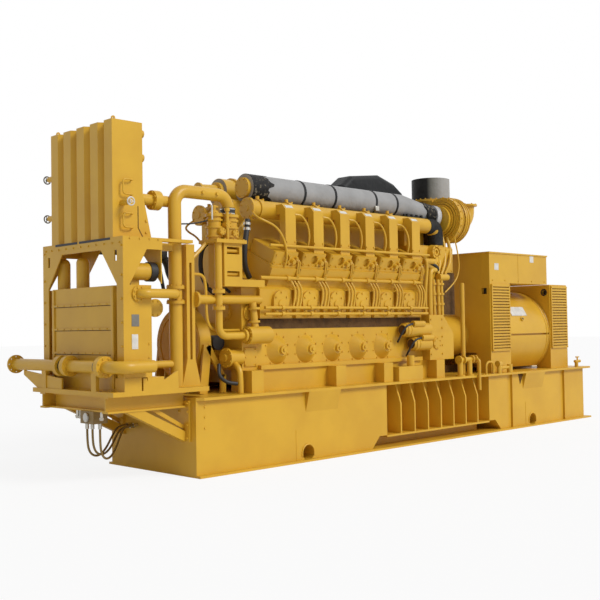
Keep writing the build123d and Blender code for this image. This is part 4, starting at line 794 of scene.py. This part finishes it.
def fit_rear_end(material, black, shade):
    """The air cooler's cover and pipes, starter fittings, housing bolts, the drains on the deck, and painted shade
    beside and behind the cooler, on the starters' fronts and under the generator.
    """
    iron, rubber, painted_shade_parts = new_shapes(3)
    for side, at in sided_places:
        out = Vector((0, side, 0))
        add_side_box(iron, side, (4.13, 0.559, 1.8), (4.56, 0.58, 2.68), 0.006)
        add_side_box(iron, side, (4.56, 0.559, 2.33), (4.9, 0.58, 2.68), 0.006)
        for rows, heights in (((4.15, 4.3, 4.42, 4.54), (1.825,)), ((4.15, 4.54), (1.98, 2.14, 2.3, 2.46)),
                              ((4.62, 4.74, 4.86), (2.355, 2.655))):
            add_side_bolts(iron, side, rows, 0.58, heights, 0.011, 0.012)
        # Painted shade: a dark plate beside the cooler cover, where the gap in front of the generator falls in shadow
        add_side_box(painted_shade_parts, side, (4.564, 0.559, 1.725), (4.948, 0.563, 2.326))
        add_side_box(iron, side, (4.288, 0.579, 1.86), (4.312, 0.602, 2.4), 0.004)
        add_rod(iron, at(4.414, 0.579, 2.606), at(4.414, 0.64, 2.606), 0.105, 0.098, sides=28)
        for inner, outer, depth in ((0.07, 0.098, 0.668), (0.03, 0.052, 0.662)):
            add_band(iron, at(4.414, 0.639, 2.606), at(4.414, depth, 2.606), inner, outer, sides=28)
        add_bolt_circle(iron, at(4.414, 0.668, 2.606), out, 0.084, 8, 0.008, 0.01)
        add_tube(iron, (at(4.45, 0.57, 2.35), at(4.4, 0.655, 2.35), at(4.26, 0.668, 2.35), at(4.235, 0.668, 2.2),
                        at(4.235, 0.668, 1.715)), 0.036, sides=14)
        add_bar(iron, at(4.47, 0.64, 2.255), 4.68, 0.05, 0.044)
        add_bar(iron, at(4.14, 0.655, 2.47), 4.34, 0.04)
        for x in (4.35, 4.455, 4.53):
            add_rod(iron, at(x, 0.65, 1.715), at(x, 0.64, 2.22), 0.026, sides=12)
            for z in (1.86, 2.0, 2.14):
                add_band(iron, at(x, 0.647, z), at(x, 0.646, z + 0.03), 0.022, 0.038, sides=14)
        for x, y in ((4.61, 0.5), (4.69, 0.53), (4.77, 0.56)):
            add_tube(iron, (at(x + 0.11, y - 0.06, 2.85), at(x + 0.09, y, 2.69), at(x, y + 0.07, 2.47),
                            at(x - 0.11, 0.61, 2.3)), 0.024, sides=12)
        add_tube(iron, (at(4.1, 0.64, 2.56), at(4.16, 0.68, 2.47), at(4.15, 0.69, 2.33), at(4.11, 0.69, 2.1),
                        at(4.14, 0.66, 1.72)), 0.024, sides=10)
        add_tube(rubber, (at(4.3, 0.59, 2.48), at(4.33, 0.655, 2.43), at(4.42, 0.66, 2.4), at(4.52, 0.6, 2.36)),
                 0.022, sides=10)
        add_tube(iron, (at(4.87, 0.64, 2.83), at(4.9, 0.67, 2.62), at(4.937, 0.67, 2.4), at(4.85, 0.67, 2.21),
                        at(4.6, 0.655, 2.04)), 0.01)
        for x, z in ((3.79, 1.33), (3.61, 1.52)):
            add_bar(iron, at(x - 0.03, 0.7, z), x + 0.002, 0.07, 0.088)
            add_bolt_circle(iron, at(x, 0.7, z), forward, 0.086, 4, 0.008, 0.012)
            # Painted shade: a dark disc on each starter's front face
            add_bar(painted_shade_parts, at(x - 0.033, 0.7, z), x - 0.029, 0.064, sides=28)
            add_bar(iron, at(x + 0.1, 0.778, z + 0.08), x + 0.33, 0.042)
            add_band(iron, at(x + 0.06, 0.7, z), at(x + 0.085, 0.7, z), 0.093, 0.101, sides=28)
            add_tube(rubber, (at(x + 0.1, 0.778, z + 0.08), at(x - 0.02, 0.77, z + 0.06),
                              at(x - 0.08, 0.72, z - 0.06), at(x - 0.06, 0.64, z - 0.16)), 0.014)
        add_side_bolts(iron, side, (4.15, 4.4), 0.74, (1.18, 1.3, 1.42, 1.54, 1.66))
        add_side_box(iron, side, (4.122, 0.738, 1.496), (4.64, 0.744, 1.506))
        add_rod(iron, at(4.27, 0.739, 1.33), at(4.27, 0.76, 1.33), 0.09, 0.082, sides=28)
        add_bolt_circle(iron, at(4.27, 0.76, 1.33), out, 0.066, 6, 0.01, 0.01)
        y = side * 0.79
        add_bar(iron, spot(4.7, y, 1.08), 5.09, 0.034)
        for x in (4.7, 4.8, 5.0, 5.075):
            add_band(iron, spot(x, y, 1.08), spot(x + 0.022, y, 1.08), 0.03, 0.06, sides=24)
        for x in (4.74, 4.96):
            add_post(iron, spot(x, y, 0.849), 1.08, 0.04)
            add_post(iron, spot(x, y, 0.849), 0.87, 0.066)
        add_tube(iron, (spot(5.055, y, 1.08), at(5.055, 0.895, 1.08), at(5.055, 0.895, 0.98), at(5.055, 0.895, 0.64)),
                 0.022, sides=12)
        y = side * 0.835
        add_tube(iron, (spot(5.31, y, 0.849), spot(5.31, y, 1.03), spot(5.49, y, 1.03), spot(5.49, y, 0.849)), 0.016)
        add_post(iron, spot(5.64, y, 0.849), 0.99, 0.036)
        add_bar(iron, spot(5.6, y, 0.99), 5.68, 0.046, 0.04)
        add_bar(iron, spot(5.64, y, 0.93), 5.96, 0.024, sides=12)
        add_post(iron, spot(5.92, y, 0.849), 0.975, 0.042)
    add_box(iron, spot(4.15, -0.3, 2.698), spot(4.6, 0.3, 3.0), 0.02)
    # Painted shade: a dark block in the valley behind the turbos and a thin dark sheet under the generator
    add_box(painted_shade_parts, spot(4.59, -0.25, 2.69), spot(4.895, 0.25, 2.985))
    add_box(painted_shade_parts, spot(4.7, -0.01, 0.849), spot(7.86, 0.01, 0.96))
    finish_piece("rear_pipes", iron, material)
    finish_piece("rear_rubber_pipes", rubber, black)
    finish_piece("cooler_painted_shade", painted_shade_parts, shade)


def fit_stand(material, black, pale, grey, shade):
    """Bolts, blank plates, painted shadow lines along the tank's seams and under the exchanger's ledges, black strips
    of painted shadow under the tank's front, and the drum's rubber joint on the cooling stand.
    """
    iron, rubber, plates, dull, lines = new_shapes(5)
    for side, at in sided_places:
        for z in (1.18, 1.42, 1.66, 1.9, 2.14, 2.44):
            add_bolt(iron, at(-0.885, 0.76, z), forward, 0.012, 0.012)
        add_side_bolts(iron, side, (-0.47,), 0.608, (2.6, 2.72), 0.014, 0.012)
        add_side_bolts(iron, side, (-0.8, -0.68, -0.56, -0.45), 0.793, (2.514,), 0.011, 0.01)
        add_side_bolts(iron, side, (-0.58,), 0.793, (1.16, 1.3, 1.44), 0.01, 0.01)
        add_side_box(iron, side, (-0.886, 0.56, 0.99), (-0.873, 0.608, 2.03), 0.003)
        # Painted shadow: thin dark strips along the seams between the tank and its gussets
        seam = side * 0.6085
        add_strut(lines, spot(-0.57, seam, 2.87), spot(-0.57, seam, 2.642), 0.009, 0.004)
        add_strut(lines, spot(-0.572, seam, 2.646), spot(-0.508, seam, 2.541), 0.009, 0.004)
    add_band(rubber, spot(-0.505, -0.66, 2.185), spot(-0.427, -0.66, 2.185), 0.088, 0.102, sides=28)
    # Painted shadow: black strips under the tank's front edge, drawn in the joint's rubber
    for low, high in ((-0.565, 0.03), (0.065, 0.52)):
        add_box(rubber, spot(-0.8865, low, 2.506), spot(-0.878, high, 2.531))
    add_bolt_circle(iron, spot(-0.7, -0.813, 1.952), (0, -1, 0), 0.068, 8, 0.011, 0.012)
    add_bolt_circle(iron, spot(-0.346, -0.525, 2.96), forward, 0.086, 8, 0.012, 0.014)
    add_box(dull, spot(-0.79, -0.797, 1.62), spot(-0.7, -0.793, 1.74), 0.001)
    add_box(plates, spot(-0.79, -0.797, 1.39), spot(-0.715, -0.793, 1.54), 0.001)
    for share in (0.344, 0.58, 0.817):
        ledge = 0.966 + 1.074 * share + 0.011
        # Painted shadow: a thin dark line under each of the exchanger's ledges
        add_box(lines, spot(-0.876, -0.606, ledge - 0.019), spot(-0.872, 0.606, ledge - 0.0115))
        for index in range(8):
            add_bolt(iron, spot(-0.885, -0.49 + 0.14 * index, ledge), forward, 0.008, 0.006)
    for y in (-0.73, -0.6, -0.45, -0.3, -0.15, 0, 0.15, 0.3, 0.45, 0.6, 0.73):
        add_bolt(iron, spot(-0.885, y, 2.47), forward, 0.01, 0.01)
    finish_piece("stand_bolts", iron, material)
    finish_piece("drum_joint_and_painted_shadow", rubber, black)
    finish_piece("stand_blank_plate", plates, pale)
    finish_piece("stand_grey_plate", dull, grey)
    finish_piece("exchanger_painted_shadow_lines", lines, shade)


def fit_raw_pipe(material, black):
    """Bolts on the raw water pipe's flanges, its rubber joints and the saddle under its far end."""
    iron, rubber = new_shapes(2)
    for place in (0.17, 0.02, -0.64):
        for end, direction in ((place, -1), (place + 0.07, 1)):
            add_bolt_circle(iron, spot(-1.0, end, 1.215), (0, direction, 0), 0.09, 8, 0.01, 0.012)
    saddle = ((0.2, 0.966), (0.72, 0.966), (1.02, 1.1), (1.02, 1.15), (0.56, 1.11), (0.2, 1.08))
    add_plate(iron, [spot(-1.01, y, z) for y, z in saddle], Vector((0.02, 0, 0)))
    for y in (0.56, 1.0):
        add_post(iron, spot(-1.0, y, 1.1), 1.16, 0.016, sides=12)
    add_band(rubber, spot(-1.0, 0.092, 1.215), spot(-1.0, 0.168, 1.215), 0.06, 0.078, sides=28)
    add_band(rubber, spot(-1.0, -0.5, 1.215), spot(-1.0, -0.57, 1.215), 0.06, 0.074, sides=28)
    finish_piece("raw_pipe_bolts", iron, material)
    finish_piece("raw_pipe_joints", rubber, black)


def fit_bracket(material, pale, bright):
    """Bolts on the bracket's plates, the gauge and its dial, and the plated taps under the beam."""
    iron, shiny, dial = new_shapes(3)
    for side in both_sides:
        for dy in (-0.075, 0.075):
            for z in (0.42, 0.56, 0.7, 0.79):
                add_bolt(iron, spot(-0.03, side * 0.62 + dy, z), forward)
        add_side_bolts(iron, side, (-0.92, -0.7, -0.48, -0.26), 0.675, (0.908,), 0.01, 0.01)
    gauge = spot(-0.955, -0.195, 0.685)
    add_rod(shiny, gauge, gauge - Vector((0.012, 0, 0)), 0.05, 0.048, sides=28)
    add_rod(dial, gauge - Vector((0.012, 0, 0)), gauge - Vector((0.015, 0, 0)), 0.041, sides=28)
    for y in (-0.4, 0.0, 0.06):
        add_post(shiny, spot(-0.9, y, 0.748), 0.69, 0.018, sides=12)
        add_post(shiny, spot(-0.9, y, 0.69), 0.66, 0.03, 0.022, sides=12)
    finish_piece("bracket_bolts", iron, material)
    finish_piece("bracket_taps", shiny, bright)
    finish_piece("gauge_dial", dial, pale)


def fit_base(material, shade):
    """Seams, bolts, collars round the lifting holes, triangles of painted shadow at two plate corners and the small
    valve on the base.
    """
    iron, collars, dark = new_shapes(3)
    for side, at in sided_places:
        add_side_bolts(iron, side, (0.12,), 0.805, (0.747, 0.64, 0.523), 0.014, 0.01)
        for x in (1.475, 6.38):
            add_box(iron, spot(x - 0.006, side * 0.8065 - 0.002, 0.026), spot(x + 0.006, side * 0.8065 + 0.002, 0.38))
        for x in (1.669, 6.568):
            arch = [at(x - 0.1, 0.806, 0.06)]
            for step in range(13):
                angle = math.pi - math.pi * step / 12
                arch.append(spot(x + 0.1 * math.cos(angle), side * 0.806, 0.1 + 0.1 * math.sin(angle)))
            arch.append(at(x + 0.1, 0.806, 0.06))
            add_tube(collars, arch, 0.011, rounds=1)
        # Painted shadow: a dark triangle at a raised plate's corner, where a lug's shadow falls
        near, far = sorted((side * 0.8055, side * 0.8085))
        add_plate(dark, [spot(6.19, near, 0.815), spot(6.33, near, 0.815), spot(6.235, near, 0.655)],
                  Vector((0, far - near, 0)))
        y = side * 0.8
        add_post(iron, spot(7.95, y, 0.849), 0.93, 0.03, sides=12)
        add_bar(iron, spot(7.9, y, 0.94), 8.06, 0.024, sides=12)
        add_post(iron, spot(7.98, y, 0.94), 1.01, 0.012, sides=8)
        add_bar(iron, spot(7.93, y, 1.01), 8.03, 0.01, sides=8)
    finish_piece("base_marks", iron, material)
    finish_piece("base_painted_shadow_marks", dark, shade)
    finish_piece("lifting_collars", collars, material)


def fit_generator(material, shade, black, pale):
    """Sheets of painted shade behind the louvres, lid and box bolts, stator rings, black painted shade inside the box
    holes and the grommet, blank plates and seams.
    """
    iron, backs, holes, plates = new_shapes(4)
    for side, at in sided_places:
        for x in (5.64, 7.32):
            # Painted shade: darker sheets behind the louvre slots
            add_side_box(backs, side, (x + 0.04, 0.7005, 1.19), (x + 0.49, 0.7035, 2.16))
            add_side_bolts(iron, side, (x + 0.033, x + 0.497), 0.725, (1.19, 1.52, 1.84, 2.16), 0.008, 0.008)
        add_side_bolts(iron, side, (5.72, 6.05, 6.42, 6.8, 7.17), 0.7, (2.24,), 0.011, 0.01)
        add_box(iron, spot(6.416, side * 0.7015 - 0.002, 2.205), spot(6.424, side * 0.7015 + 0.002, 2.64))
        slope = Vector((0, side * 0.853, 0.522))
        matrix = Matrix.Translation(at(6.54, 0.589, 1.77) + slope * plate_lift) @ facing(slope)
        bmesh.ops.create_cube(plates, size=1.0, matrix=matrix @ Matrix.Diagonal((0.42, 0.16, 0.008, 1)))
        add_rod(iron, at(6.572, 0.64, 1.64), at(6.572, 0.668, 1.655), 0.034, sides=16)
        # Painted shade: a black disc in the grommet's hole
        add_rod(holes, at(6.572, 0.667, 1.655), at(6.572, 0.671, 1.657), 0.018, sides=12)
        for x, z in ((5.828, 2.445), (6.808, 2.588)):
            add_side_box(plates, side, (x - 0.055, 0.699, z - 0.05), (x + 0.055, 0.703, z + 0.05))
        add_box(iron, spot(5.6385, side * 0.555 - 0.004, 2.206), spot(5.6405, side * 0.555 + 0.004, 2.64))
        # Painted shade: a black ring, disc and square inside the box holes
        add_band(holes, at(7.317, 0.6, 2.077), at(7.321, 0.6, 2.077), 0.038, 0.058, sides=24)
        add_box(holes, spot(5.694, side * 0.6 - 0.045, 2.032), spot(5.698, side * 0.6 + 0.045, 2.122))
        add_bar(holes, at(7.374, 0.6, 2.077), 7.378, 0.039, sides=20)
        for x, radius in ((6.19, 0.69), (7.24, 0.69), (7.3, 0.692)):
            ring = [spot(x, side * math.sin(turn) * radius, crank_height + math.cos(turn) * radius)
                    for turn in (math.radians(step) for step in range(40, 131, 6))]
            add_tube(iron, ring, 0.011, sides=6, rounds=1)
    finish_piece("generator_bolts", iron, material)
    finish_piece("louvre_painted_shade_backs", backs, shade)
    finish_piece("box_hole_painted_shade", holes, black)
    finish_piece("generator_blank_plates", plates, pale)


make_camera()
make_stage()

ochre_paint = paint("ochre_paint", ochre, ochre_dark)
box_paint = paint("box_paint", ochre_brown, deeper(ochre_brown))
wheel_paint = plain("wheel_paint", pale_plate_and_highlight, 0.35)
blanket_cloth = blanket_lagging("blanket_cloth")
worn_cloth = lagging("worn_cloth", black_cloth_fleck, black_cloth, 26, (0.56, 0.72))
strap_cloth = lagging("strap_cloth", hump_cloth, black_cloth, 9, (0.3, 0.6))
hose_rubber = plain("hose_rubber", hose_brown, 0.6)
black_rubber = plain("black_rubber", rubber_black, 0.55)
plated = plain("plated_fittings", plated_steel, 0.25, 0.9)
pale_enamel_and_highlight = plain("pale_enamel_and_highlight", pale_plate_and_highlight, 0.4)
grey_enamel = plain("grey_enamel", grey_plate, 0.5)
silver_enamel = plain("silver_enamel", silver_foil, 0.4)
# Painted shade for the louvre slots
louvre_painted_shade_material = plain("louvre_painted_shade_material", louvre_painted_shade_colour, 0.6)
# Painted shade for the dark strips and plates in gaps, under rails and ledges and round the cooler
painted_shade_material = lagging("painted_shade_material", painted_shade_colour, painted_shade_deep, 9, (0.3, 0.6))

special = {
    "exhaust_blankets": blanket_cloth,
    "control_box": box_paint,
    "hose_fittings": plated,
    "lower_valve_wheel": grey_enamel,
    "upper_valve_wheel": grey_enamel,
    "near_valve_wheel": wheel_paint,
}
for node_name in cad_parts:
    dress(node_name, special.get(node_name, ochre_paint))

for hose_name, hose_start, hose_end, hose_offsets in zip(
    ("first_hose", "second_hose", "third_hose"), hose_starts, hose_ends, hose_drop_points
):
    hang_hose(hose_name + "_rubber", hose_start, hose_end, hose_offsets, hose_rubber)

fit_rocker_gear(ochre_paint)
fit_block_sides(ochre_paint, painted_shade_material)
fit_runners(pale_enamel_and_highlight, ochre_paint)
wrap_exhaust(ochre_paint, worn_cloth, strap_cloth, plated, silver_enamel)
fit_turbos(ochre_paint)
fit_front_end(ochre_paint, black_rubber, plated)
fit_front_pipes(ochre_paint, black_rubber)
fit_rear_end(ochre_paint, black_rubber, painted_shade_material)
fit_stand(ochre_paint, black_rubber, pale_enamel_and_highlight, grey_enamel, painted_shade_material)
fit_raw_pipe(ochre_paint, black_rubber)
fit_bracket(ochre_paint, pale_enamel_and_highlight, plated)
fit_base(ochre_paint, painted_shade_material)
fit_generator(ochre_paint, louvre_painted_shade_material, black_rubber, pale_enamel_and_highlight)
